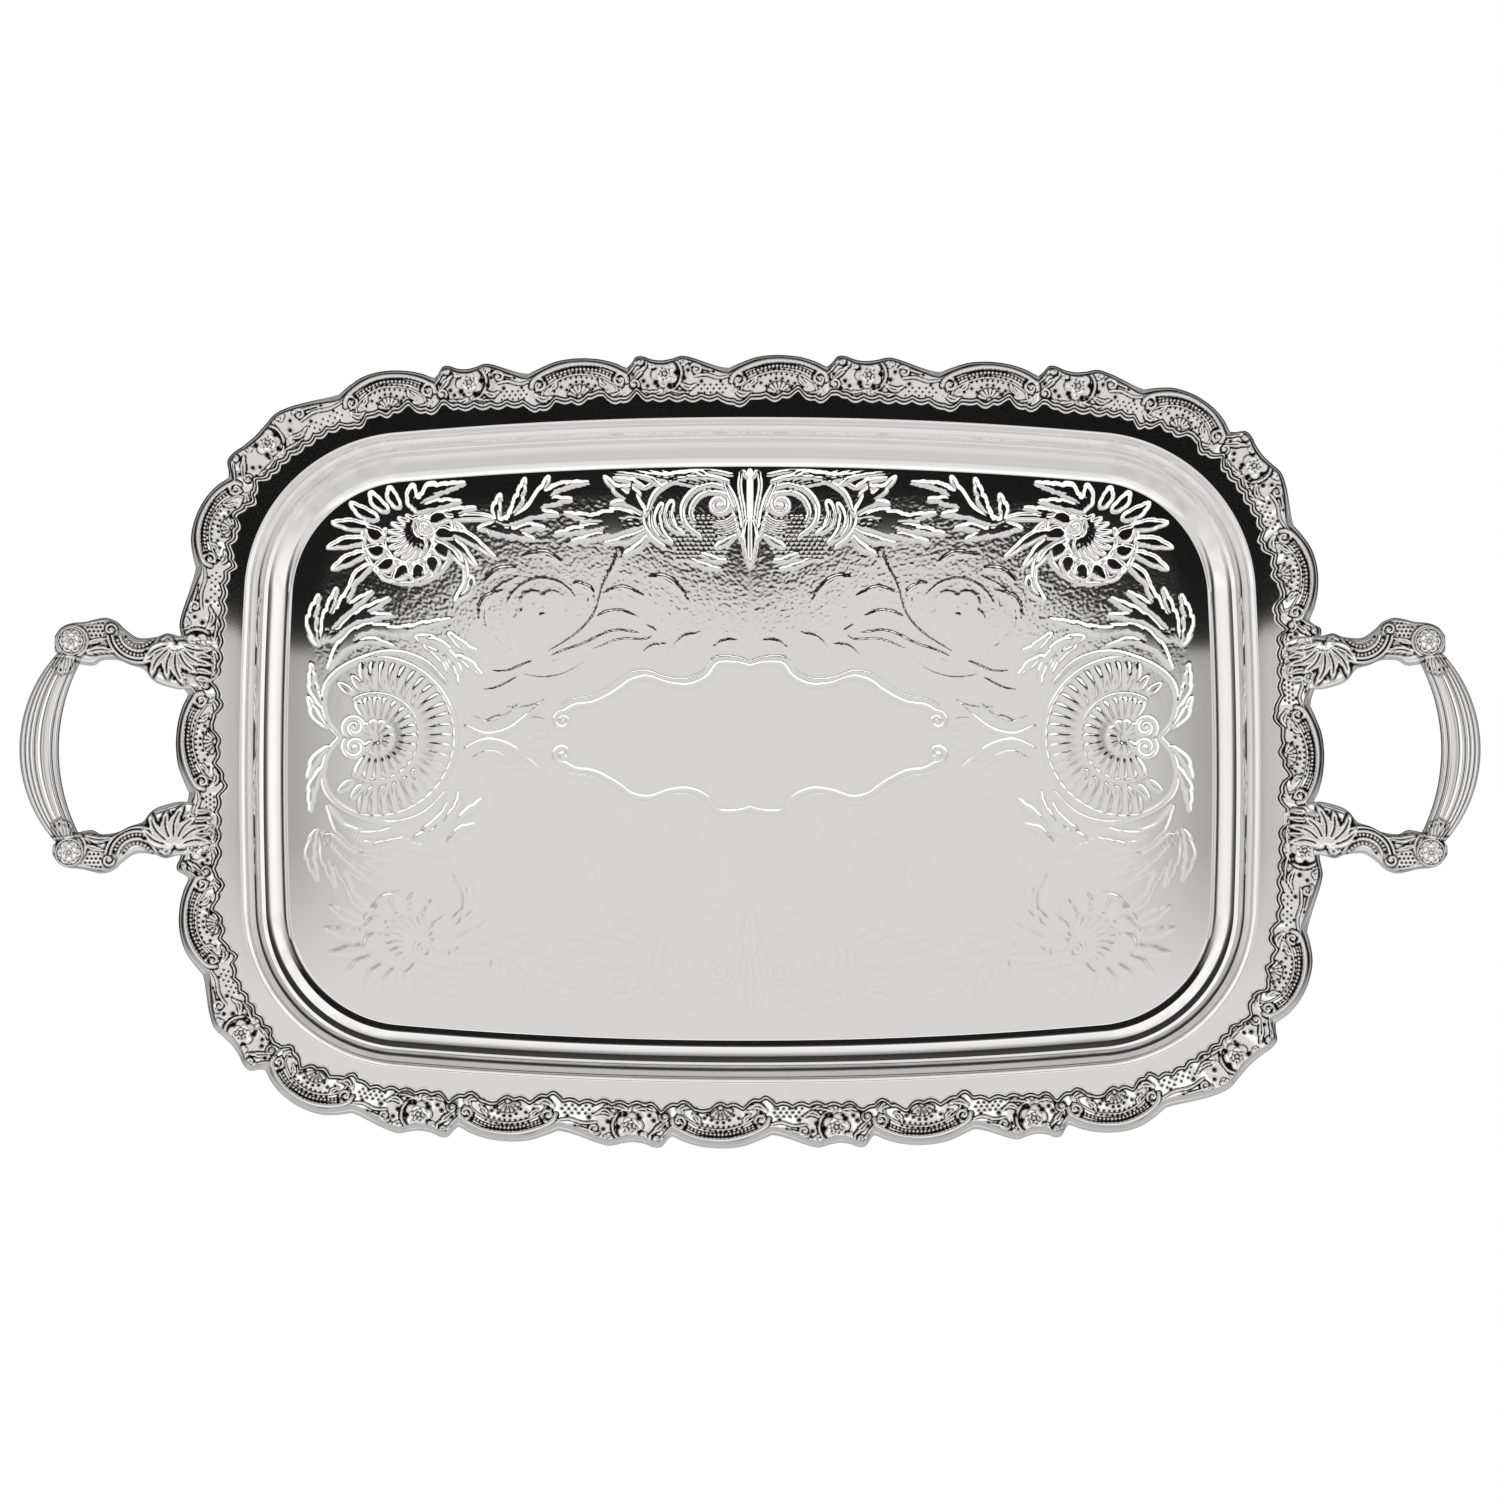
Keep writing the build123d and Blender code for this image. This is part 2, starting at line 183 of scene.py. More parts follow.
class Chased:
    """Height samples in plan that ornament is raised on.

    h is their height, cover is 1 where ornament covers the ground, and the third is the painted shade
    laid in the hollows and creases. A crisp of 0.5 gives round wires and beads, more makes them sharper.
    """

    def __init__(self, x, y, crisp=0.5):
        self.crisp = crisp
        self.x = x.ravel()
        self.y = y.ravel()
        self.h = np.zeros(self.x.size)
        self.cover = np.zeros(self.x.size)
        # painted shade of the hollows and creases, which the materials darken to near black
        self.painted_shade = np.zeros(self.x.size)

    def near(self, line, reach):
        """Index of the samples in a line's box, widened by a reach."""
        low = line.min(0) - reach
        high = line.max(0) + reach
        return np.nonzero((self.x > low[0]) & (self.x < high[0])
                          & (self.y > low[1]) & (self.y < high[1]))[0]

    def round_about(self, centre, reach):
        """Samples round a centre: their index and offsets from it."""
        index = self.near(np.array([centre, centre], float), reach)
        return index, self.x[index] - centre[0], self.y[index] - centre[1]

    def follow(self, line, reach):
        """Samples near a line: their index, place along it (0 to 1) and signed distance."""
        index = self.near(line, reach)
        if index.size == 0:
            return index, index, index
        x, y = self.x[index], self.y[index]
        steps = np.hypot(*(line[1:] - line[:-1]).T)
        total = max(steps.sum(), TINY)
        best = np.full(index.size, 1 / TINY)
        along = np.zeros(index.size)
        side = np.zeros(index.size)
        done = 0.0
        for (ax, ay), (bx, by), length in zip(line[:-1], line[1:], steps):
            if length < TINY:
                continue
            ux, uy = (bx - ax) / length, (by - ay) / length
            t = np.clip((x - ax) * ux + (y - ay) * uy, 0, length)
            dx, dy = x - ax - t * ux, y - ay - t * uy
            d = np.hypot(dx, dy)
            nearer = d < best
            best = np.where(nearer, d, best)
            along = np.where(nearer, (done + t) / total, along)
            side = np.where(nearer, np.sign(ux * dy - uy * dx), side)
            done += length
        keep = best < reach
        return index[keep], along[keep], (best * side)[keep]

    def raise_to(self, index, height, cover=None):
        """Lift samples to a height, which clears the painted shade from them."""
        self.painted_shade[index] *= 1 - smooth(height / 0.5)
        self.h[index] = np.maximum(self.h[index], height)
        shown = np.clip(height * 4, 0, 1) if cover is None else cover
        self.cover[index] = np.maximum(self.cover[index], shown)

    def wire(self, line, width, height, tips=0.6):
        """A round raised line that thins towards both ends."""
        index, along, d = self.follow(line, width)
        taper = tips + (1 - tips) * np.sin(pi * np.clip(along, 0, 1)) ** 0.6
        across = np.clip(1 - (d / (width * taper)) ** 2, 0, 1)
        self.raise_to(index, height * taper * across ** self.crisp)

    def leaf(self, line, width, height, lobes=4, cut=0.34, edge=0.85, veined=0.5):
        """An acanthus leaf: lobed outline, flat face and a vein down the middle."""
        index, along, d = self.follow(line, width * 1.3)
        if index.size == 0:
            return
        body = np.sin(pi * np.clip(along, 0.0, 1.0) ** 0.72) ** 0.62
        sweep = lobes * (along - 0.42 * np.abs(d) / (width + 1e-6))
        notch = np.abs(np.sin(pi * sweep))
        half = width * body * (1 - cut * (1 - notch) ** 1.5)
        inside = np.abs(d) < half
        rim = smooth((half - np.abs(d)) / min(edge, 0.45 * width))
        vein = veined * np.exp(-(d / 0.36) ** 2) * smooth((0.9 - along) * 8)
        raised = height * np.clip(rim - vein, 0.02, 1.2)
        self.raise_to(index[inside], raised[inside], 1.0)

    def volute(self, centre, radius, first, turns, width, height):
        """A rolled scroll with a round eye."""
        self.wire(spiral(centre, radius, first, turns), width, height, tips=0.7)
        self.bead(centre, width * 1.25, height * 1.15)

    def bead(self, centre, radius, height):
        """A small round boss."""
        index, dx, dy = self.round_about(centre, radius)
        r = np.hypot(dx, dy) / radius
        inside = r < 1
        self.raise_to(index[inside], height * (1 - r[inside] ** 2) ** self.crisp)

    def beads(self, line, pitch, radius, height):
        """A row of beads along a line, with painted shade left between them."""
        index, _, d = self.follow(line, radius * 1.5)
        self.painted_shade[index] = np.maximum(self.painted_shade[index], np.clip(1.6 - 1.3 * np.abs(d) / radius, 0, 1))
        steps = np.hypot(*(line[1:] - line[:-1]).T)
        marks = np.concatenate([[0], np.cumsum(steps)])
        for place in np.arange(pitch / 2, marks[-1], pitch):
            spot = np.interp(place, marks, line[:, 0]), np.interp(place, marks, line[:, 1])
            self.bead(spot, radius, height)

    def shade_line(self, line, width):
        """Painted shade along a line."""
        index, _, d = self.follow(line, 2 * width)
        self.painted_shade[index] = np.maximum(self.painted_shade[index], np.exp(-(d / width) ** 2))

    def pit(self, centre, radius, depth):
        """A round punch mark with painted shade in it."""
        index, dx, dy = self.round_about(centre, radius * 2)
        r = np.hypot(dx, dy) / radius
        self.h[index] -= depth * np.exp(-r * r * 1.6)
        self.painted_shade[index] = np.maximum(self.painted_shade[index], np.exp(-r * r))

    def fan(self, centre, radius, facing, spread, ribs, height, inner=0.12):
        """A scallop shell: ribs that fan out to a lobed rim. Angles in degrees."""
        index, dx, dy = self.round_about(centre, radius * 1.15)
        r = np.hypot(dx, dy) / radius
        a = np.degrees(np.arctan2(dy, dx)) - facing
        a = (a + 180) % 360 - 180
        place = a / spread + 0.5
        wave = np.abs(np.sin(pi * ribs * place))
        edge = 1 - 0.12 * (1 - wave)
        inside = (np.abs(a) < spread / 2) & (r < edge) & (r > inner)
        rib = 0.25 + 0.75 * wave ** 0.6
        profile = rib * np.minimum((edge - r) * 9, 1) ** 0.5 * smooth((r - inner) * 4)
        self.raise_to(index[inside], (height * (0.45 + 0.55 * r) * profile)[inside], 1.0)

    def rose(self, centre, radius, petals, height, turn=0.0, rounds=3):
        """An open rose: rounds of overlapping petals and a button."""
        index, dx, dy = self.round_about(centre, radius * 1.1)
        r = np.hypot(dx, dy)
        a = np.arctan2(dy, dx) + radians(turn)
        for ring in range(rounds):
            size = radius * (1 - ring / (rounds + 0.35))
            phase = a + ring * pi / petals
            wave = np.abs(np.cos(petals * phase / 2))
            edge = size * (0.74 + 0.26 * wave ** 0.7)
            share = r / edge
            inside = share < 1
            cup = (0.35 + 0.65 * share ** 2) * np.minimum((1 - share) * 7, 1) ** 0.5
            seam = 0.45 * (1 - wave) ** 2.5
            level = height * (0.55 + 0.45 * ring / rounds)
            self.raise_to(index[inside], (level * np.clip(cup - seam, 0.05, 1))[inside], 1.0)
        self.bead(centre, radius * 0.17, height * 1.1)


def blurred(field, cells):
    """Each sample's mean with its neighbours, so many cells each way."""
    padded = np.pad(field, cells, mode="edge")
    total = np.cumsum(np.cumsum(padded, 0), 1)
    total = np.pad(total, ((1, 0), (1, 0)))
    n = 2 * cells + 1
    return (total[n:, n:] - total[:-n, n:] - total[n:, :-n] + total[:-n, :-n]) / (n * n)


def hollows(field, cells, depth):
    """How deep each sample lies below its surroundings, 0 to 1."""
    return np.clip((blurred(field, cells) - field) / depth, 0, 1)


# --- meshes -------------------------------------------------------------------------
def grid_mesh(name, x, y, z):
    """A bmesh grid whose points take the places of the given samples, in millimetres."""
    rows, cols = x.shape
    bm = bmesh.new()
    bmesh.ops.create_grid(bm, x_segments=cols - 1, y_segments=rows - 1, size=0.5)
    mesh = bpy.data.meshes.new(name)
    bm.to_mesh(mesh)
    bm.free()
    start = np.empty(len(mesh.vertices) * 3, np.float32)
    mesh.vertices.foreach_get("co", start)
    start = start.reshape(-1, 3)
    col = np.rint((start[:, 0] + 0.5) * (cols - 1)).astype(int)
    row = np.rint((start[:, 1] + 0.5) * (rows - 1)).astype(int)
    place = np.stack([x[row, col], y[row, col], z[row, col]], 1) * MM
    mesh.vertices.foreach_set("co", place.astype(np.float32).ravel())
    return mesh, row, col


def mark(mesh, name, values):
    """Store one number for each vertex, for the materials."""
    layer = mesh.attributes.new(name, "FLOAT", "POINT")
    layer.data.foreach_set("value", np.asarray(values, np.float32).ravel())


WELD = 0.001                         # points closer than this become one


def finish_mesh(mesh):
    """Weld doubles, close open ends and turn the faces outwards."""
    bm = bmesh.new()
    bm.from_mesh(mesh)
    bmesh.ops.remove_doubles(bm, verts=bm.verts, dist=WELD * MM)
    bmesh.ops.holes_fill(bm, edges=bm.edges)
    bmesh.ops.recalc_face_normals(bm, faces=bm.faces)
    bm.to_mesh(mesh)
    bm.free()


def add_piece(name, mesh, material, node):
    """Put a finished mesh in the scene in the place of a CAD node, riding on the tray."""
    mesh.polygons.foreach_set("use_smooth", np.ones(len(mesh.polygons), bool))
    mesh.update()
    mesh.materials.append(material)
    piece = bpy.data.objects.new(name, mesh)
    bpy.context.scene.collection.objects.link(piece)
    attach(piece, "root")
    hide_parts(node)


def chased_piece(name, x, y, z, hollow, material, node):
    """A closed piece whose rows run round its section, the chased face first, with painted shade in its
    hollows.
    """
    mesh, row, col = grid_mesh(name, x, y, z)
    plain = np.zeros((z.shape[0] - hollow.shape[0], z.shape[1]))
    mark(mesh, "hollow", np.vstack([hollow, plain])[row, col])
    finish_mesh(mesh)
    add_piece(name, mesh, material, node)


def rounded(share, power=2):
    """Height of a rounded section from edge to edge: 1 in the middle, 0 at both edges."""
    return np.sqrt(np.clip(1 - np.abs(2 * share - 1) ** power, 0, 1))


def across_back(rows):
    """Shares of the way back from the outer edge to the inner, both edges left out."""
    return np.linspace(1, 0, rows + 2)[1:-1, None]


# --- materials ------------------------------------------------------------------------
class Sock:
    """A socket that shader maths can be written with."""

    def __init__(self, paint, socket):
        self.paint = paint
        self.socket = socket

    def __add__(self, other):
        return self.paint.maths("ADD", self, other)

    def __sub__(self, other):
        return self.paint.maths("SUBTRACT", self, other)

    def __rsub__(self, other):
        return self.paint.maths("SUBTRACT", other, self)

    def __mul__(self, other):
        return self.paint.maths("MULTIPLY", self, other)

    def __truediv__(self, other):
        return self.paint.maths("DIVIDE", self, other)

    __radd__ = __add__
    __rmul__ = __mul__

    def clamp(self, low=0.0, high=1.0):
        return self.paint.maths("MAXIMUM", self.paint.maths("MINIMUM", self, high), low)


class Paint:
    """The nodes of a material or a world, built up from plain calls."""

    def __init__(self, owner):
        owner.use_nodes = True
        self.owner = owner
        self.tree = owner.node_tree

    def node(self, kind, settings=None, out=0, **inputs):
        """Add a node: its type, its settings, then the values or links of its sockets."""
        new = self.tree.nodes.new(kind)
        for key, value in (settings or {}).items():
            if key == "stops":
                ramp = new.color_ramp
                while len(ramp.elements) < len(value):
                    ramp.elements.new(0.5)
                for element, (place, shade) in zip(ramp.elements, value):
                    element.position = place
                    element.color = shade
            else:
                setattr(new, key, value)
        self.feed(new, inputs)
        return Sock(self, new.outputs[out])

    def feed(self, node, inputs):
        """Give sockets their values or links, by name or by number after an underscore."""
        for key, value in inputs.items():
            socket = node.inputs[int(key[1:]) if key[1:].isdigit() else key.replace("_", " ")]
            if isinstance(value, Sock):
                self.tree.links.new(value.socket, socket)
            else:
                socket.default_value = value

    def into(self, name, **inputs):
        """Feed sockets of a node that is already there."""
        self.feed(self.tree.nodes[name], inputs)

    def coat(self, **inputs):
        """Set the finish of a material."""
        self.into("Principled BSDF", **inputs)

    def maths(self, operation, *values):
        sockets = {f"_{i}": value for i, value in enumerate(values)}
        return self.node("ShaderNodeMath", {"operation": operation}, **sockets)

    def place(self):
        return self.node("ShaderNodeTexCoord", out="Object")

    def noise(self, scale, detail=2.0):
        return self.node("ShaderNodeTexNoise", Vector=self.place(), Scale=scale, Detail=detail)

    def attribute(self, name):
        return self.node("ShaderNodeAttribute", {"attribute_name": name}, out="Fac")

    def split(self, vector):
        """The three parts of a vector."""
        parts = self.node("ShaderNodeSeparateXYZ", Vector=vector).socket.node
        return [Sock(self, part) for part in parts.outputs]

    def blend(self, factor, first, second):
        """Mix two colours, which a Mix node takes at its sockets 6 and 7."""
        return self.node("ShaderNodeMix", {"data_type": "RGBA"}, out=2,
                         Factor=factor, _6=first, _7=second)

    def bump(self, height, distance):
        return self.node("ShaderNodeBump", Height=height, Distance=distance, Strength=1.0)


def new_paint(name):
    return Paint(bpy.data.materials.new(name))


SILVER = (0.93, 0.925, 0.91, 1.0)
WARM_SILVER = (0.90, 0.87, 0.85, 1.0)
# near-black colours of the painted shade in the hollows
PAINTED_FLOOR_SHADE = (0.10, 0.085, 0.08, 1.0)
PAINTED_HOLLOW_SHADE = (0.012, 0.011, 0.011, 1.0)
NICKEL = (0.66, 0.65, 0.62, 1.0)
DULL_NICKEL = (0.5, 0.49, 0.47, 1.0)


def silver_plate(name, rough, grain, cloudy=0.04, dark_hollows=0.0):
    """Silver plate: a bright metal with faint wiping marks, clouding and painted shade in the hollows."""
    paint = new_paint(name)
    clouds = paint.noise(38.0, 3.0)
    fine = paint.noise(900.0)
    tone = paint.blend(clouds, SILVER, WARM_SILVER)
    roughness = rough + clouds * cloudy
    if dark_hollows:
        # painted shade: the hollows are darkened towards near black
        hollow = (paint.attribute("hollow") * dark_hollows * (0.7 + fine * 0.6)).clamp()
        tone = paint.blend(hollow, tone, PAINTED_HOLLOW_SHADE)
        roughness = roughness + hollow * 0.3
    paint.coat(Base_Color=tone, Metallic=1.0, Roughness=roughness.clamp(),
               Normal=paint.bump(fine, grain * MM))
    return paint.owner


def floor_silver():
    """The floor's silver: satin with a stippled ground between the leaves and painted shade in the hollows.
    """
    paint = new_paint("embossed_silver")
    clouds = paint.noise(22.0, 4.0)
    fine = paint.noise(1500.0)
    ground = paint.attribute("ground")
    # painted shade in the hollows of the embossed design
    hollow = (paint.attribute("hollow") * 0.3).clamp()
    tone = paint.blend(hollow, paint.blend(clouds, SILVER, WARM_SILVER), PAINTED_FLOOR_SHADE)
    cells = paint.node("ShaderNodeTexVoronoi", {"feature": "F1"}, Vector=paint.place(), Scale=1300.0)
    stipple = cells * ground + fine * 0.25
    paint.coat(Base_Color=tone, Metallic=1.0, Roughness=(0.045 + clouds * 0.03 + ground * 0.02).clamp(),
               Normal=paint.bump(stipple, 0.0012 * MM))
    return paint.owner


def nickel():
    """Nickel-plated steel of the fixings, with faint turning lines."""
    paint = new_paint("nickel_plate")
    clouds = paint.noise(300.0, 3.0)
    paint.coat(Base_Color=paint.blend(clouds, NICKEL, DULL_NICKEL), Metallic=1.0,
               Roughness=(0.22 + clouds * 0.2).clamp(), Normal=paint.bump(clouds, 0.02 * MM))
    return paint.owner


wall_plate = silver_plate("polished_silver", rough=0.045, grain=0.0012, cloudy=0.03)
cast_plate = silver_plate("cast_silver", rough=0.1, grain=0.004, dark_hollows=1.5)
grip_plate = silver_plate("grip_silver", rough=0.06, grain=0.006, dark_hollows=1.0)
floor_plate = floor_silver()
fixing_plate = nickel()


# --- embossed design of the floor -----------------------------------------------------
RELIEF = 0.34                        # height of the embossed design
PLAIN_LEAF = {"lobes": 1, "cut": 0, "veined": 0}
SPRAY = {"cut": 0.4, "edge": 0.75, "veined": 0}
CRESTING_TIPS = ((64, 119.5), (58, 121), (51, 121.5), (43, 121.5), (35, 121), (28, 120.5))


def chase_cresting(sheet):
    """Vase with scrolls at the middle of the long side."""
    h = RELIEF
    sheet.leaf(curve((0, 99), (0, 87), (0, 76)), 3.6, 1.7 * h, lobes=1, cut=0.0)
    sheet.wire(curve((0, 122), (0, 108), (0, 94)), 1.2, h, tips=1)
    for shift in (0.0, 2.3):
        sheet.wire(curve((10.5 + shift, 114 + shift), (7.0 + shift, 107), (5.0 + 0.5 * shift, 99),
                         (3.4 + 0.3 * shift, 89)), 0.8, h)
    sheet.wire(curve((3.6, 122), (4.6, 113), (3.0, 103), (2.0, 93)), 0.6, 0.8 * h)
    sheet.wire(ring_arc((0, 119.5), 2.6, 0, 360), 0.6, 0.8 * h, tips=1)
    sheet.volute((13.6, 104.6), 5.4, 70, 1.7, 0.8, 1.2 * h)
    sheet.wire(curve((11, 112), (17, 113.5), (25, 111), (30, 104), (29, 96), (22, 90)), 0.9, h)
    sheet.wire(curve((13, 109.8), (19, 110), (24, 107), (26.5, 101), (24.5, 95)), 0.7, 0.9 * h)
    sheet.wire(curve((9.8, 115), (18, 117), (32, 116), (42, 110), (46, 101)), 1.0, h)
    sheet.wire(curve((8, 118), (20, 120), (36, 118), (47, 112)), 0.7, 0.8 * h)
    sheet.leaf(curve((34.6, 107), (36.5, 100), (34, 94), (28.5, 91)), 2.2, 1.3 * h, lobes=2, cut=0.2)
    sheet.leaf(curve((39, 106), (41.5, 99), (39.5, 92), (34, 87)), 1.7, 1.1 * h, lobes=3, cut=0.25)
    sheet.wire(curve((47.6, 104), (47.8, 96), (44.2, 90), (38.4, 85.5)), 0.7, 1.1 * h)
    sheet.wire(curve((44.6, 102), (44.2, 95), (40.4, 90), (35, 87.5)), 0.55, 0.9 * h)
    for k, (end_x, end_y) in enumerate(CRESTING_TIPS):
        sheet.wire(curve((13.0 + 0.5 * k, 108.6 + 1.5 * k), (22, 112.4 + 1.4 * k), (32 - k, 114.6 + 1.1 * k),
                         (0.5 * (end_x + 30), 0.5 * (end_y + 115)), (end_x, end_y)), 0.6, 0.9 * h, tips=0.4)
    for start_x, start_y, end_x, end_y in ((49, 109, 60, 113), (47, 112, 62, 116.5), (40, 113, 50, 117.5)):
        sheet.leaf(curve((start_x, start_y), (0.5 * (start_x + end_x), 0.5 * (start_y + end_y) + 1.2),
                         (end_x, end_y)), 1.2, h, **PLAIN_LEAF)
    sheet.leaf(curve((16.0, 85.0), (11, 87.6), (5.6, 91.4)), 1.5, 1.3 * h, lobes=1, cut=0)
    sheet.leaf(curve((22, 83), (16.5, 80), (10, 79.5)), 1.6, 1.1 * h, lobes=2)
    sheet.leaf(curve((27, 80), (20.5, 77), (12.5, 75.4)), 1.4, 1.0 * h, lobes=2)
    for k in range(4):
        sheet.wire(ring_arc((13.6, 104.6), 8.0 + 2.1 * k, 196 + 6 * k, 300 - 8 * k), 0.5, 0.6 * h)
    for row in range(11):
        for col in range(12):
            x = 7.0 + 2.3 * col + 1.15 * (row % 2)
            y = 80.0 + 1.9 * row
            if hypot((x - 24.0) / 17.0, (y - 90.5) / 13.0) < 1:
                sheet.bead((x, y), 1.05, 0.35 * h)


# leaves of the long side: points from root to tip, half width, lobes
LONG_SIDE_LEAVES = (
    # sprays that spring from the cresting's shoulder
    (((46.5, 99.5), (54, 105.5), (63, 105)), 2.0, 2),
    (((47.0, 101.0), (53, 110), (52, 118)), 1.9, 2),
    (((49.0, 103.5), (59, 111), (66, 118)), 1.9, 2),
    (((47.5, 98.5), (60, 100.5), (76.5, 96.4)), 2.3, 4),
    (((54.0, 98.5), (70, 98.5), (84, 101)), 1.9, 3),
    (((47.5, 97.0), (66, 95), (88.5, 91.2)), 2.3, 4),
    (((47.0, 95.5), (62, 92), (81, 87.6)), 2.1, 3),
    (((46.5, 93.5), (55, 89), (66, 87.2)), 1.9, 2),
    (((45.5, 91.0), (50, 85.5), (57, 82)), 1.6, 2),
    # frond whose stem leaves the corner
    (((122, 93.6), (107.6, 97), (96, 103), (86.9, 112), (71, 115)), 2.5, 6),
    (((108, 97.5), (104, 106), (100.4, 117.4)), 2.0, 3),
    (((101, 101), (94, 109.5), (89.5, 118.6)), 1.9, 2),
    (((113, 96), (113.6, 103), (111.5, 110)), 1.8, 2),
    (((96, 103), (89, 106), (79, 107.2)), 1.9, 2),
    (((104, 98.6), (95, 100.6), (85.2, 100.2)), 1.9, 2),
    (((118, 93), (107, 92), (95.8, 88.6)), 2.2, 3),
    (((108, 92.4), (99, 94.6), (91, 94.0)), 1.7, 2),
    # leaf that stands over the corner flower
    (((151.5, 102.5), (142, 110.5), (127, 114.6)), 2.5, 4),
    (((150.5, 101.5), (141, 104.5), (129, 106.2)), 2.2, 3),
    (((148, 106), (142, 114.5), (136, 119)), 1.9, 2),
    (((140, 101), (131, 101.5), (122, 103.5)), 1.7, 2),
)
# leaves of the corner flower: points, half width
CORNER_LEAVES = (
    (((144, 97.5), (120, 99), (104, 93.5)), 1.5),
    (((141.5, 93), (128, 90.5), (113, 80)), 2.0),
    (((142, 91), (131, 86), (121.5, 75.8)), 1.9),
    (((143, 89.5), (134, 83.5), (127, 75.5)), 1.6),
    (((152, 103.5), (151.5, 110), (150.6, 115.2)), 2.1),
    (((157, 103), (160.5, 108.5), (161.5, 114)), 2.2),
    (((162, 101.5), (167.5, 106), (170.5, 112)), 2.2),
    (((166.5, 98), (174, 101.5), (179.5, 106)), 2.3),
    (((170, 94), (179, 95.5), (187.5, 96.5)), 2.3),
    (((172, 88.5), (181, 87.5), (189.5, 85)), 2.3),
    (((172, 83), (180, 79.5), (187.5, 75)), 2.2),
    (((169.5, 77.5), (175, 73), (179.5, 67)), 2.0),
)
# leaves that climb the short side from the shell's shoulder
SHORT_SIDE_LEAVES = (
    (((193, 41), (196, 52), (192.5, 65)), 2.3, 3),
    (((191.5, 42), (189, 54), (184.5, 68)), 2.2, 3),
    (((190, 43), (184, 56), (175.8, 72)), 2.4, 4),
    (((186, 50), (179, 58), (168, 66)), 2.0, 3),
    (((188.5, 43), (176, 54), (160.5, 63)), 2.4, 4),
    (((180, 51), (170, 54), (159, 55)), 1.8, 2),
    (((187.5, 33), (180, 43.5), (169, 49.2), (153, 44.5)), 2.7, 5),
    (((170, 50), (156, 47.6), (144, 50.5), (132.5, 53.4)), 2.3, 4),
    (((189, 30), (182, 39.5), (170, 43.5), (157, 40)), 1.8, 3),
    (((150, 45.5), (139, 41.5), (131, 32), (129.5, 23)), 2.4, 4),
    (((146, 41.5), (138, 36), (134, 28)), 1.6, 2),
    (((190, 13), (195, 22), (196, 34)), 2.0, 3),
    (((188, 4), (194, 10), (197.5, 19)), 1.8, 2),
    (((135, 47), (128, 41), (121, 38.5)), 1.8, 2),
    (((131, 37), (124, 32), (119, 27)), 1.7, 2),
)
# leaves and stems about the rose
ROSE_LEAVES = (
    (((79.5, 69.5), (71.8, 65.5), (71.5, 55.5)), 2.1, 3),
    (((90, 35.6), (74, 40.5), (61, 46.6), (47.5, 46.4)), 2.4, 6),
    (((46.3, 71.6), (38, 71.4), (31, 65.6), (26.8, 58.8)), 1.8, 3),
    (((62, 74), (58.5, 82), (60.5, 89)), 2.0, 3),
    (((66, 64), (57, 66.5), (46.5, 63)), 1.8, 4),
    (((72, 52), (60, 56), (50, 54)), 1.9, 4),
    (((110, 66), (119, 61), (121, 51)), 1.9, 4),
    (((104, 76), (113, 74.5), (119, 69.5)), 1.8, 4),
    (((84, 78), (92, 82.5), (102, 81.5)), 1.8, 4),
    (((96, 34), (107, 29), (116, 29.5)), 2.0, 5),
    (((103, 27), (111, 22), (120, 21)), 1.7, 4),
    (((36, 36), (30, 44), (22, 47)), 1.8, 4),
    (((50, 34), (44, 40), (36, 42)), 1.7, 4),
    (((18, 38), (12, 42.5), (5, 43.5)), 1.5, 3),
    (((92, 15), (101, 12.5), (110, 13.5)), 1.8, 4),
    (((88, 6.5), (97, 7.6), (105, 4)), 1.7, 4),
    (((86, 2.2), (94, 1.8), (101, 0)), 1.3, 3),
    (((106, 8), (113, 8.5), (121, 5)), 1.5, 3),
)


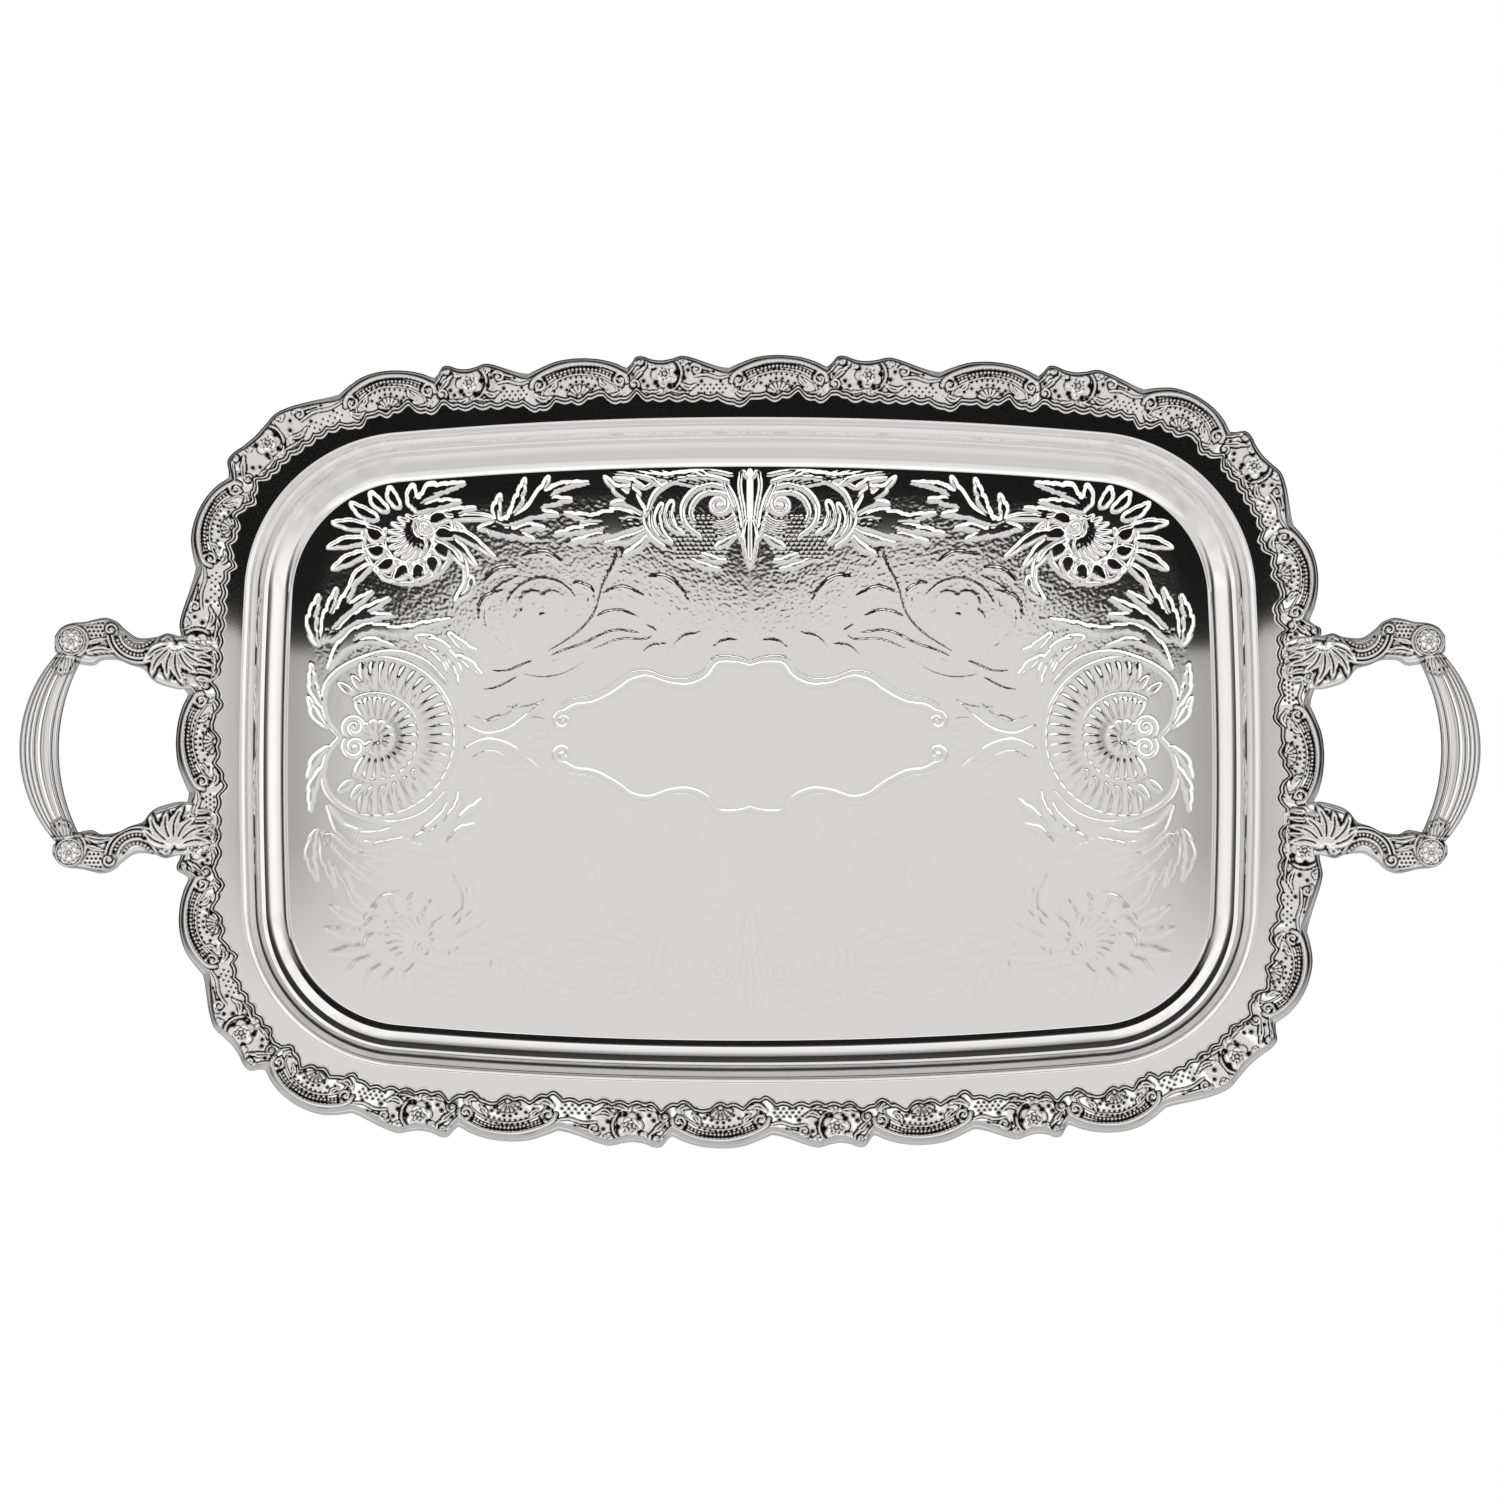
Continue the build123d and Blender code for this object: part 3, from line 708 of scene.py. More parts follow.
def chase_corner(sheet):
    """Open flower of the corner, round a rolled eye."""
    h = RELIEF
    eye = (145.4, 94.7)
    heart = (152.6, 89.4)
    near, far, count, first, sweep = 11.6, 20.0, 9, 128, 250
    for k in range(count):
        a = radians(first + sweep * (k + 0.5) / count)
        base = (heart[0] + near * cos(a), heart[1] + near * sin(a))
        middle = 0.5 * (near + far)
        mid = (heart[0] + middle * cos(a + 0.04), heart[1] + middle * sin(a + 0.04))
        tip = (heart[0] + far * cos(a + 0.2), heart[1] + far * sin(a + 0.2))
        wide = 0.235 * (near + far) * radians(sweep / count)
        sheet.leaf(curve(base, mid, tip, steps=5), wide, 1.3 * h, **PLAIN_LEAF)
    sheet.wire(ring_arc(heart, far + 0.6, first - 4, first + sweep + 4), 0.55, 0.9 * h, tips=1)
    sheet.wire(ring_arc(heart, near - 0.2, first - 4, first + sweep + 4), 0.5, 0.9 * h, tips=1)
    for k in range(12):
        a = radians(128 - 22 * k)
        tip = np.array((heart[0] + (near - 1.0) * cos(a), heart[1] + (near - 1.0) * sin(a)))
        way = tip - np.array(eye)
        base = np.array(eye) + way / np.hypot(*way) * 4.6
        mid = 0.5 * (base + tip) + 0.08 * np.array((way[1], -way[0]))
        sheet.leaf(curve(base, mid, tip, steps=5), 1.35, 1.35 * h, edge=0.6, **PLAIN_LEAF)
    for centre, size in (((160.5, 76.0), 5.4), ((148.6, 76.4), 5.0)):
        sheet.wire(ring_arc(centre, size, 150, 400), 0.8, 1.6 * h)
    sheet.volute(eye, 4.6, 230, 1.9, 0.8, 1.4 * h)
    sheet.wire(curve((147, 99), (140, 99.8), (132, 96.6), (125, 90)), 0.8, 1.1 * h)
    sheet.wire(curve((134.5, 93), (129, 83), (127, 71), (131.6, 61.6)), 1.1, 1.2 * h)
    sheet.leaf(curve((124.6, 73), (125.6, 66), (132.4, 60.6)), 1.8, 1.4 * h, lobes=1, cut=0)
    for points, wide in CORNER_LEAVES:
        sheet.leaf(curve(*points), 1.25 * wide, 1.1 * h, lobes=2, cut=0.2, veined=0)


def chase_shell_end(sheet):
    """Scallop shell at the middle of the short side, with its wreath of leaves."""
    h = 0.62 * RELIEF
    hub = (167.0, 0.0)
    sheet.fan(hub, 35.0, 180, 210, 25, 1.1 * h, inner=0.56)
    sheet.fan(hub, 19.0, 180, 250, 17, 1.2 * h, inner=0.42)
    sheet.wire(ring_arc(hub, 35.6, 78, 180, steps=40), 0.8, 1.1 * h, tips=1)
    sheet.wire(ring_arc(hub, 19.4, 60, 180, steps=40), 0.6, 0.9 * h, tips=1)
    sheet.fan(hub, 8.0, 180, 300, 9, 1.1 * h, inner=0.2)
    sheet.volute((176.5, 4.4), 5.2, -40, 1.6, 0.8, 1.3 * h)
    sheet.wire(curve((183, 0), (188.5, 7), (190.5, 17), (187.7, 26), (177.5, 33.5), (161, 38.2),
                     (146, 34.4), (135, 24)), 1.0, 1.1 * h)
    for k in range(7):
        a = radians(62 + 13 * k)
        base = (hub[0] + 22 * cos(a), 22 * sin(a))
        tip = (hub[0] + 30 * cos(a - 0.12), 30 * sin(a - 0.12))
        sheet.leaf(curve(base, tip, steps=5), 1.9, h, lobes=1, cut=0)
    for points, wide, lobes in SHORT_SIDE_LEAVES:
        sheet.leaf(curve(*points), 1.2 * wide, 1.3 * h, lobes=lobes, **SPRAY)


def chase_rose(sheet):
    """Rose between the corner and the middle, on its curling stems."""
    h = 0.36 * RELIEF
    rose = (92.8, 54.5)
    sheet.rose(rose, 13.3, 5, 0.9 * h, turn=18, rounds=4)
    sheet.wire(ring_arc(rose, 16.5, 20, 150), 0.7, 0.7 * h)
    sheet.wire(ring_arc(rose, 28.0, 215, 300), 0.7, 0.7 * h)
    sheet.wire(curve((60, 79.4), (65.4, 68), (69, 56), (76.5, 46.8), (90, 38)), 0.9, 0.9 * h)
    sheet.wire(curve((57, 84), (61.5, 74), (63.5, 64)), 0.6, 0.7 * h)
    stem = curve((88.5, 33.5), (72, 38.5), (58, 43.5), (46, 43.6), (42.6, 47.6), (46.5, 50))
    sheet.wire(stem, 0.8, 0.9 * h)
    sheet.wire(curve((104, 72), (114, 66), (118.5, 55), (114, 44), (104, 37)), 0.6, 0.6 * h)
    for points, wide, lobes in ROSE_LEAVES:
        sheet.leaf(curve(*points), wide, 0.85 * h, lobes=lobes, cut=0.25)


# outline of the plain middle, from the middle of its long side to its end scroll
CARTOUCHE_LINE = ((0, 31.6), (4, 32.8), (9.8, 33.4), (14.8, 32.4), (19, 27), (27, 23.4), (36, 24.0),
                  (45.4, 27), (53, 25.4), (58, 21.8), (63.5, 18.4), (70, 15.4), (78, 14.2), (82.6, 11.6))


def chase_cartouche(sheet):
    """Double line round the plain middle, with its end scrolls."""
    h = 0.6 * RELIEF
    line = curve(*CARTOUCHE_LINE, steps=8)
    sheet.wire(line, 0.9, 1.15 * h, tips=0.9)
    sheet.wire(line + np.array([1.4, 2.5]), 0.55, 0.8 * h, tips=0.9)
    sheet.volute((83.6, 7.4), 4.2, 100, -1.4, 0.75, 1.1 * h)
    sheet.wire(curve((127, 5), (118, 1.4), (108, 3.4), (99, 10), (92, 16.4)), 1.0, h)
    sheet.wire(curve((124, 9.5), (117, 6.5), (110, 8.5), (103, 15)), 0.6, 0.8 * h)


def chase_floor(sheet):
    """The floor's design, drawn for one quarter: x out from the middle, y out from the
    design's own middle line."""
    chase_cresting(sheet)
    for points, wide, lobes in LONG_SIDE_LEAVES:
        sheet.leaf(curve(*points), 1.25 * wide, RELIEF, lobes=lobes, **SPRAY)
    chase_corner(sheet)
    chase_shell_end(sheet)
    chase_rose(sheet)
    chase_cartouche(sheet)


# --- floor ----------------------------------------------------------------------------
FLOOR_STEP = 0.6
STIPPLE = 0.026                      # depth of the punch marks between the leaves
STIPPLE_SEED = 5
STIPPLE_FROM = 5.0                   # the marks come up from here to the back
STIPPLE_FADE = 60.0
FRONT_DEPTH = 0.3                    # the design is struck this much shallower in front
FRONT_FADE = 62.0
LEVEL_RIM = 0.5                      # level strip beside the wall
RIM_FADE = 3.0
PLAIN_HALF = (82.0, 27.0)            # half length and half depth of the plain middle
PLAIN_RIM = 8.0                      # width of the plain rim, and of its fade
BARELY = 1e-6                        # a distance that counts as none


def floor_ground(x, y):
    """Where the ground between the leaves is stippled: all but the plain middle and rim."""
    middle = np.hypot(x / PLAIN_HALF[0], y / PLAIN_HALF[1])
    rim = outside_floor(x, y + DECOR_SHIFT)
    return smooth((middle - 1) * 3) * smooth((-rim - PLAIN_RIM) / PLAIN_RIM)


def drawn_in(x, y, out, side_x):
    """Points with those just outside the floor line drawn in to it."""
    way_x = np.where(np.abs(x) < CORNER_X, 0, np.abs(x) - CORNER_X) * side_x
    way_y = np.where(np.abs(y) < CORNER_Y, 0, np.abs(y) - CORNER_Y) * np.sign(y)
    length = np.maximum(np.hypot(way_x, way_y), BARELY)
    over = np.clip(out, 0, None)
    return x - over * way_x / length, y - over * way_y / length


def close_below(mesh, beyond):
    """Cut off the faces beyond the floor line and close the sheet below them.

    Gives each vertex's grid sample, and whether it lies on the upper face.
    """
    bm = bmesh.new()
    bm.from_mesh(mesh)
    bm.verts.ensure_lookup_table()
    dead = [face for face in bm.faces if all(beyond[v.index] for v in face.verts)]
    sample_layer = bm.verts.layers.int.new("sample")
    for vert in bm.verts:
        vert[sample_layer] = vert.index
    bmesh.ops.delete(bm, geom=dead, context="FACES")
    rim = [edge for edge in bm.edges if edge.is_boundary]
    skirt = bmesh.ops.extrude_edge_only(bm, edges=rim)["geom"]
    low_edges = [item for item in skirt if isinstance(item, bmesh.types.BMEdge) and item.is_boundary]
    for vert in {v for edge in low_edges for v in edge.verts}:
        vert.co.z = 0.0
    bmesh.ops.edgeloop_fill(bm, edges=low_edges)
    bmesh.ops.recalc_face_normals(bm, faces=bm.faces)
    for edge in rim + low_edges:
        edge.smooth = False
    sample = np.array([vert[sample_layer] for vert in bm.verts])
    upper = np.array([vert.co.z > 0.5 * SHEET * MM for vert in bm.verts])
    bm.to_mesh(mesh)
    bm.free()
    mesh.attributes.remove(mesh.attributes["sample"])
    return sample, upper


def floor_quarter(name, side_x, side_y):
    """One quarter of the floor, a closed slab with the design raised on top."""
    depth = FLOOR_HALF_DEPTH - side_y * DECOR_SHIFT
    cols = ceil(FLOOR_HALF_LENGTH / FLOOR_STEP) + 1
    rows = ceil(depth / FLOOR_STEP) + 1
    x, y = np.meshgrid(np.linspace(0, FLOOR_HALF_LENGTH, cols), np.linspace(0, depth, rows))
    sheet = Chased(x, y, crisp=0.9)
    chase_floor(sheet)
    plan_x = x * side_x
    plan_y = y * side_y + DECOR_SHIFT
    out = outside_floor(plan_x, plan_y)
    struck = FRONT_DEPTH + (1 - FRONT_DEPTH) * smooth((plan_y + FRONT_FADE) / FRONT_FADE)
    height = sheet.h.reshape(x.shape) * struck
    ground = floor_ground(x, y) * (1 - sheet.cover.reshape(x.shape))
    quarter = 2 * (side_y > 0) + (side_x > 0)
    dots = np.random.default_rng(STIPPLE_SEED + quarter).uniform(-1, 1, x.shape) * smooth(x / 2)
    height += STIPPLE * ground * dots * smooth((plan_y - STIPPLE_FROM) / STIPPLE_FADE)
    height *= smooth((-out - LEVEL_RIM) / RIM_FADE)
    # painted shade: depth below the surroundings, darkened in the floor's silver
    hollow = hollows(height, 3, 0.32) * smooth((-out - 2) / RIM_FADE)
    plan_x, plan_y = drawn_in(plan_x, plan_y, out, side_x)
    mesh, row, col = grid_mesh(name, plan_x, plan_y, SHEET + height)
    sample, upper = close_below(mesh, out[row, col] > BARELY)
    mark(mesh, "ground", ground[row, col][sample] * upper)
    mark(mesh, "hollow", hollow[row, col][sample] * upper)
    add_piece(name, mesh, floor_plate, "tray_pan")


# --- stepped wall and flange ---------------------------------------------------------
# upper face of the wall, floor to flange: length along it, slope at its start and end
WALL_TURNS = ((0.5, 1, 19.5), (2.8, 19.5, 24), (0.3, 24, 26.5), (3.8, 26.5, 29), (0.2, 29, 31),
              (2.4, 31, 34.5), (0.3, 34.5, 27), (1.4, 27, 28), (0.3, 28, 48), (3.4, 48, 60),
              (0.4, 60, 42), (2.2, 42, 38), (0.3, 38, 66), (1.2, 66, 66), (0.5, 66, 28),
              (1.4, 28, 28), (0.8, 28, 2), (0.3, 2, 0))
WALL_FACET = 5.0                     # most degrees between two facets
WALL_RUN = 20.6
WALL_RISE = 14.8
WALL_COLUMNS = 1000
WALL_REACH = 4.0                     # longest step along the section
UNDER_SHIFT = (0.75, -0.95)          # from the upper face to the underside, in sheets
FLANGE_START = 26.0
EDGE_BREAK = 0.1                     # broken edges of the flange


def wall_profile():
    """Upper face of the wall, then its underside: (out from the floor line, height)."""
    face = [(0.0, 0.0)]
    for length, first, last in WALL_TURNS:
        count = max(2, ceil(abs(last - first) / WALL_FACET))
        for k in range(count):
            slope = radians(first + (last - first) * (k + 0.5) / count)
            out, up = face[-1]
            face.append((out + length / count * cos(slope), up + length / count * sin(slope)))
    face = np.array(face) * (WALL_RUN / face[-1][0], WALL_RISE / face[-1][1])
    face[:, 1] += SHEET
    back = face[::-4] + np.array(UNDER_SHIFT) * SHEET
    back = back[back[:, 1] > 0.3]
    under = FLANGE_TOP - SHEET
    flange = [(FLANGE_START, FLANGE_TOP), (FLANGE_OUT - EDGE_BREAK, FLANGE_TOP),
              (FLANGE_OUT, FLANGE_TOP - EDGE_BREAK), (FLANGE_OUT, under + EDGE_BREAK),
              (FLANGE_OUT - EDGE_BREAK, under)]
    foot = [(5.5, 0.0), (-0.5, 0.0), (-0.5, SHEET - 0.05)]
    return np.vstack([face, flange, back, foot])


def dense_line(points, step):
    """More points along a polyline, with its corners kept."""
    out = [points[0]]
    for a, b in zip(points[:-1], points[1:]):
        count = max(1, ceil(hypot(*(b - a)) / step))
        for k in range(1, count + 1):
            out.append(a + (b - a) * k / count)
    return np.array(out)


def pan_wall():
    """Wall and flange in one ring."""
    profile = wall_profile()
    profile = dense_line(np.vstack([profile, profile[:1]]), WALL_REACH)
    around = np.linspace(0, 2 * HALF_TURN, WALL_COLUMNS)
    station, out = np.meshgrid(around, profile[:, 0])
    x, y = on_rim(station, out)
    x[:, -1] = x[:, 0]
    y[:, -1] = y[:, 0]
    z = np.repeat(profile[:, 1:2], around.size, 1)
    mesh = grid_mesh("pan_wall", x, y, z)[0]
    finish_mesh(mesh)
    add_piece("pan_wall", mesh, wall_plate, "tray_pan")


# --- cast border ------------------------------------------------------------------------
def all_stations():
    """Middles of the shells once round, with the last and the first again at the ends."""
    half = list(SHELL_STATIONS)
    stations = half + [s + HALF_TURN for s in half]
    return [stations[-1] - 2 * HALF_TURN] + stations + [stations[0] + 2 * HALF_TURN]


STATIONS = all_stations()
SHELL_CREST = 48.7                   # outer edge at the top of a shell
VALLEY = 43.0                        # outer edge between two castings
# outer edge between two shells: share of the way, distance out
BLOSSOM_EDGE = ((0.0, 43.6), (0.04, 45.4), (0.09, 48.4), (0.16, 48.6), (0.24, 47.2), (0.34, 46.6),
                (0.44, 47.3), (0.54, 48.5), (0.64, 47.6), (0.8, 45.0), (0.92, 43.3), (1.0, 42.8))
INNER_EDGE = ((0.0, 28.6), (0.06, 30.4), (0.1, 31.2), (0.15, 29.6), (0.22, 28.2), (0.4, 28.4),
              (0.6, 27.9), (0.8, 28.2), (0.94, 27.6), (1.0, 26.6))
LOBE_PITCH = 7.3                     # small lobes along the inner edge
LOBE_DEPTH = 1.4
# along a shell: place, distance out
SHELL_OUTER = ((-22, 42.8), (-16, 45.4), (-9, 47.8), (0, 48.7), (9, 48.0), (16, 46.2), (20, 44.4),
               (22, 43.6))
SHELL_INNER = ((-22, 26.6), (-19, 25.2), (-14.5, 26.4), (-9.5, 29.0), (-4, 28.3), (0, 28.0), (4.5, 29.4),
               (8.7, 31.6), (13, 29.2), (18, 27.3), (22, 28.6))
SHELL_SCROLL = ((-20.8, 35.8), (-19.6, 38.6), (-15, 41.6), (-7, 44.3), (0.8, 45.3), (10.3, 44.4),
                (16.7, 42.0), (20.9, 39.4), (21.9, 36.6))


def edge_lines(s, here, before, after):
    """Outer and inner edge of the border at places along it, measured from a shell."""
    def read(points, place):
        line = curve(*points)
        return np.interp(place, line[:, 0], line[:, 1])

    outer = read(SHELL_OUTER, s)
    inner = read(SHELL_INNER, s)
    for start, end in ((SHELL_HALF, after - here - SHELL_HALF), (before - here + SHELL_HALF, -SHELL_HALF)):
        share = (s - start) / (end - start)
        between = (share > 0) & (share < 1)
        outer = np.where(between, read(BLOSSOM_EDGE, share), outer)
        inner = np.where(between, read(INNER_EDGE, share), inner)
    inner = inner + LOBE_DEPTH * (0.4 - np.abs(np.sin(pi * (s + here) / LOBE_PITCH)))
    return outer, inner


def chase_shell(sheet):
    """Shell of the border: scrolled arch, bead row, pitted field and a floret."""
    scroll = curve(*SHELL_SCROLL)
    sheet.beads(scroll * (0.9, 1.0) + (0.0, -2.5), 1.75, 0.72, 1.3)
    sheet.wire(scroll, 1.15, 1.7, tips=1)
    sheet.wire(scroll * (0.8, 1.0) + (0.0, -4.6), 0.5, 0.8, tips=0.6)
    sheet.volute((-17.4, 36.4), 3.5, 180, -1.35, 0.85, 1.7)
    sheet.volute((18.8, 37.2), 3.4, 0, 1.35, 0.85, 1.7)
    sheet.pit((-14.9, 38.6), 0.9, 0.6)
    sheet.pit((16.0, 39.6), 0.9, 0.6)
    for side in (-1, 1):
        sheet.leaf(curve((side * 20.5, 33), (side * 16, 30.2), (side * 10.5, 31.4)), 1.9, 1.2, lobes=2)
        sheet.leaf(curve((side * 13.4, 33.6), (side * 10.5, 36.0), (side * 9.4, 39.2)), 1.5, 1.1, lobes=2)
        sheet.pit((side * 7.6, 35.4), 0.75, 0.6)
        sheet.pit((side * 10.8, 33.6), 0.6, 0.6)
    sheet.fan((0.6, 30.4), 6.0, 90, 160, 7, 1.6, inner=0.15)
    sheet.bead((0.6, 30.6), 1.4, 1.8)
    for k in range(-3, 3):
        a = radians(90 - 24 * (k + 0.5))
        sheet.pit((0.6 + 6.7 * cos(a), 30.6 + 6.9 * sin(a)), 0.72, 0.7)
    for row, count in enumerate((9, 8)):
        for k in range(count):
            shift = k - (count - 1) / 2
            sheet.pit((shift * 2.35 + 0.4, 41.2 - 1.9 * row - 0.1 * shift ** 2), 0.52, 0.7)


# punch marks about the blossoms: share of the way, distance out, radius
BLOSSOM_PITS = ((0.16, 36.8, 1.0), (0.2, 34.6, 0.9), (0.13, 33.4, 0.7), (0.73, 36.2, 0.9),
                (0.56, 37.8, 1.1), (0.6, 41.2, 0.9), (0.3, 34.4, 0.8), (0.46, 34.2, 0.9),
                (0.85, 40.4, 0.7), (0.92, 36.0, 0.7), (0.06, 39.6, 0.7))


def chase_blossoms(sheet, start, end):
    """Blossoms and leaves between two shells."""
    span = end - start

    def at(share, out):
        return start + share * span, out

    rose = at(0.37, 39.6)
    sheet.leaf(curve(at(-0.02, 38.5), at(0.04, 42.5), at(0.12, 45.8)), 1.8, 1.5, lobes=2)
    sheet.volute(at(0.125, 45.2), 2.2, 200, -1.2, 0.75, 1.7)
    sheet.leaf(curve(at(0.04, 36.6), at(0.12, 40.4), at(0.2, 43.8)), 1.7, 1.4, lobes=2)
    sheet.rose(rose, 6.2, 5, 2.1, turn=30, rounds=3)
    for k in range(5):
        a = radians(72 * k + 6)
        sheet.pit((rose[0] + 5.6 * cos(a), rose[1] + 5.6 * sin(a)), 1.15, 0.9)
    sheet.wire(ring_arc(rose, 7.6, -70, 62), 0.75, 1.5)
    sheet.rose(at(0.555, 45.0), 2.2, 4, 1.9, turn=10, rounds=2)
    sheet.rose(at(0.245, 43.6), 1.9, 4, 1.7, turn=40, rounds=2)
    sheet.volute(at(0.68, 41.4), 2.7, 150, -1.2, 0.75, 1.6)
    sheet.leaf(curve(at(0.62, 43.8), at(0.8, 42.0), at(1.0, 39.8)), 1.7, 1.6, lobes=3)
    sheet.wire(curve(at(0.66, 38.4), at(0.78, 39.0), at(0.9, 37.4), at(1.0, 38.2)), 0.75, 1.2)
    sheet.leaf(curve(at(0.5, 36.0), at(0.6, 33.4), at(0.7, 35.4)), 1.6, 1.3, lobes=2)
    sheet.leaf(curve(at(0.36, 32.6), at(0.24, 30.9), at(0.1, 33.0)), 2.0, 1.3, lobes=3)
    sheet.leaf(curve(at(0.38, 32.6), at(0.5, 30.8), at(0.62, 31.6)), 1.9, 1.3, lobes=3)
    sheet.volute(at(0.07, 35.4), 2.1, -40, 1.2, 0.7, 1.4)
    for share, out, size in BLOSSOM_PITS:
        sheet.pit(at(share, out), size, 0.7)
    for row in range(3):
        for k in range(5):
            sheet.pit(at(0.7 + 0.06 * k + 0.03 * (row % 2), 31.2 + 1.7 * row), 0.5, 0.6)


BORDER_STEP = 0.42
BORDER_LOW = 13.6                    # lower edge of the lip
BORDER_RISE = 3.4                    # the ornament's ground climbs this much outwards
BORDER_LIFT = 0.6                    # the casting's inner edge above the flange
ORNAMENT_ROWS = 54
LIP_WIDTH = 2.7
LIP_SPREAD = 1.1                     # the lip is this much wider in the valleys
EDGE_WIRE = 1.8                      # round line, out from the inner edge
EDGE_SHADE_LINES = (1.0, 2.6)             # painted shade lines on both sides of it
# the lip's section: share of its width, share of its drop
LIP_SECTION = ((0.04, 0.03), (0.1, 0.12), (0.2, 0.24), (0.34, 0.41), (0.5, 0.6), (0.55, 0.64), (0.6, 0.66),
               (0.66, 0.68), (0.71, 0.7), (0.75, 0.75), (0.84, 0.84), (0.93, 0.93), (1.0, 1.0))


def border_casting(index):
    """One casting of the border, joint line to joint line."""
    before, here, after = STATIONS[index - 1:index + 2]
    start = (before + here) / 2 - here
    end = (after + here) / 2 - here
    cols = ceil((end - start) / BORDER_STEP) + 1
    along = np.linspace(start, end, cols)
    outer, inner = edge_lines(along, here, before, after)
    lip = LIP_WIDTH + LIP_SPREAD * np.clip((SHELL_CREST - outer) / (SHELL_CREST - VALLEY), 0, 1)
    share = np.linspace(0, 1, ORNAMENT_ROWS)[:, None]
    v_top = inner + (outer - lip - inner) * share
    z_top = FLANGE_TOP + BORDER_LIFT + BORDER_RISE * share + 0 * v_top
    v_share, z_share = (np.array(part)[:, None] for part in zip(*LIP_SECTION))
    v_lip = outer - lip * (1 - v_share)
    z_lip = z_top[-1:] + (BORDER_LOW - z_top[-1:]) * z_share
    v = np.vstack([v_top, v_lip])
    z = np.vstack([z_top, z_lip])
    s = np.repeat(along[None, :], v.shape[0], 0)
    sheet = Chased(s, v)
    chase_shell(sheet)
    chase_blossoms(sheet, SHELL_HALF, after - here - SHELL_HALF)
    chase_blossoms(sheet, before - here + SHELL_HALF, -SHELL_HALF)
    edge = np.stack([along, inner], 1)[::2]
    sheet.wire(edge + (0.0, EDGE_WIRE), 0.5, 0.9, tips=1)
    for shift in EDGE_SHADE_LINES:
        sheet.shade_line(edge + (0.0, shift), 0.34)
    rows = np.arange(v.shape[0])[:, None]
    fade = smooth((v - inner) / 1.0) * (1 - smooth((rows - (ORNAMENT_ROWS - 3)) / 5.0))
    relief = sheet.h.reshape(s.shape) * fade
    # painted shade: hollows of the relief, with the shaded pits, bead gaps and lines
    hollow = smooth(hollows(relief, 2, 0.4) * 1.7 - 0.3)
    hollow = np.maximum(hollow, sheet.painted_shade.reshape(s.shape)) * fade
    z = z + relief
    inside = np.stack([np.full(cols, FLANGE_OUT + 0.1), np.full(cols, FLANGE_OUT + 0.05), inner + 0.1])
    under = np.array([BORDER_LOW, FLANGE_TOP + 0.01, FLANGE_TOP + 0.01])[:, None] + 0 * inside
    v = np.vstack([v, inside, v[:1]])
    z = np.vstack([z, under, z[:1]])
    s = np.repeat(along[None, :], v.shape[0], 0)
    x, y = on_rim(s + here, v)
    chased_piece(f"border_mount_{index:02d}", x, y, z, hollow, cast_plate,
                 f"border_casting_{index:02d}")


# --- handles ------------------------------------------------------------------------------
GRIP_OUTSIDE = 323.5                 # middle of the bow, out from the tray's middle
GRIP_INSIDE = 306.0
GRIP_HALF = 41.5                     # half of the grip's length
OUTER_BOW = 16.0                     # how far the outer and inner edges bow out
INNER_BOW = 11.0
GRIP_COLUMNS = 240
GRIP_ROWS = 100
GRIP_BACK_ROWS = 24
GRIP_REEDS = (0.0, 0.16, 0.6, 0.72, 0.84, 1.0)   # inner edge to outer edge


def bow(middle, rise, y):
    """Where an edge of the grip lies that bows out by a rise."""
    radius = (GRIP_HALF ** 2 + rise ** 2) / (2 * rise)
    return middle - radius + np.sqrt(radius ** 2 - y ** 2)


def chase_grip(sheet):
    """Leaf cup at each end of the grip."""
    for end in (-1, 1):
        for k in range(5):
            lean = (k - 2) * 2.2
            base = (302.5 + lean * 0.55, end * 40.5)
            tip = (304.5 + lean * 1.05, end * (31.0 + 1.2 * abs(k - 2)))
            sheet.leaf(curve(base, tip, steps=6), 1.5, 1.5, lobes=2, cut=0.2)
        sheet.wire(curve((296, end * 38.8), (302, end * 40.2), (309, end * 40.6)), 0.8, 1.6, tips=1)
        for k in range(3):
            sheet.bead((301 + 2.0 * k, end * (33.8 - 0.4 * k)), 0.8, 1.3)


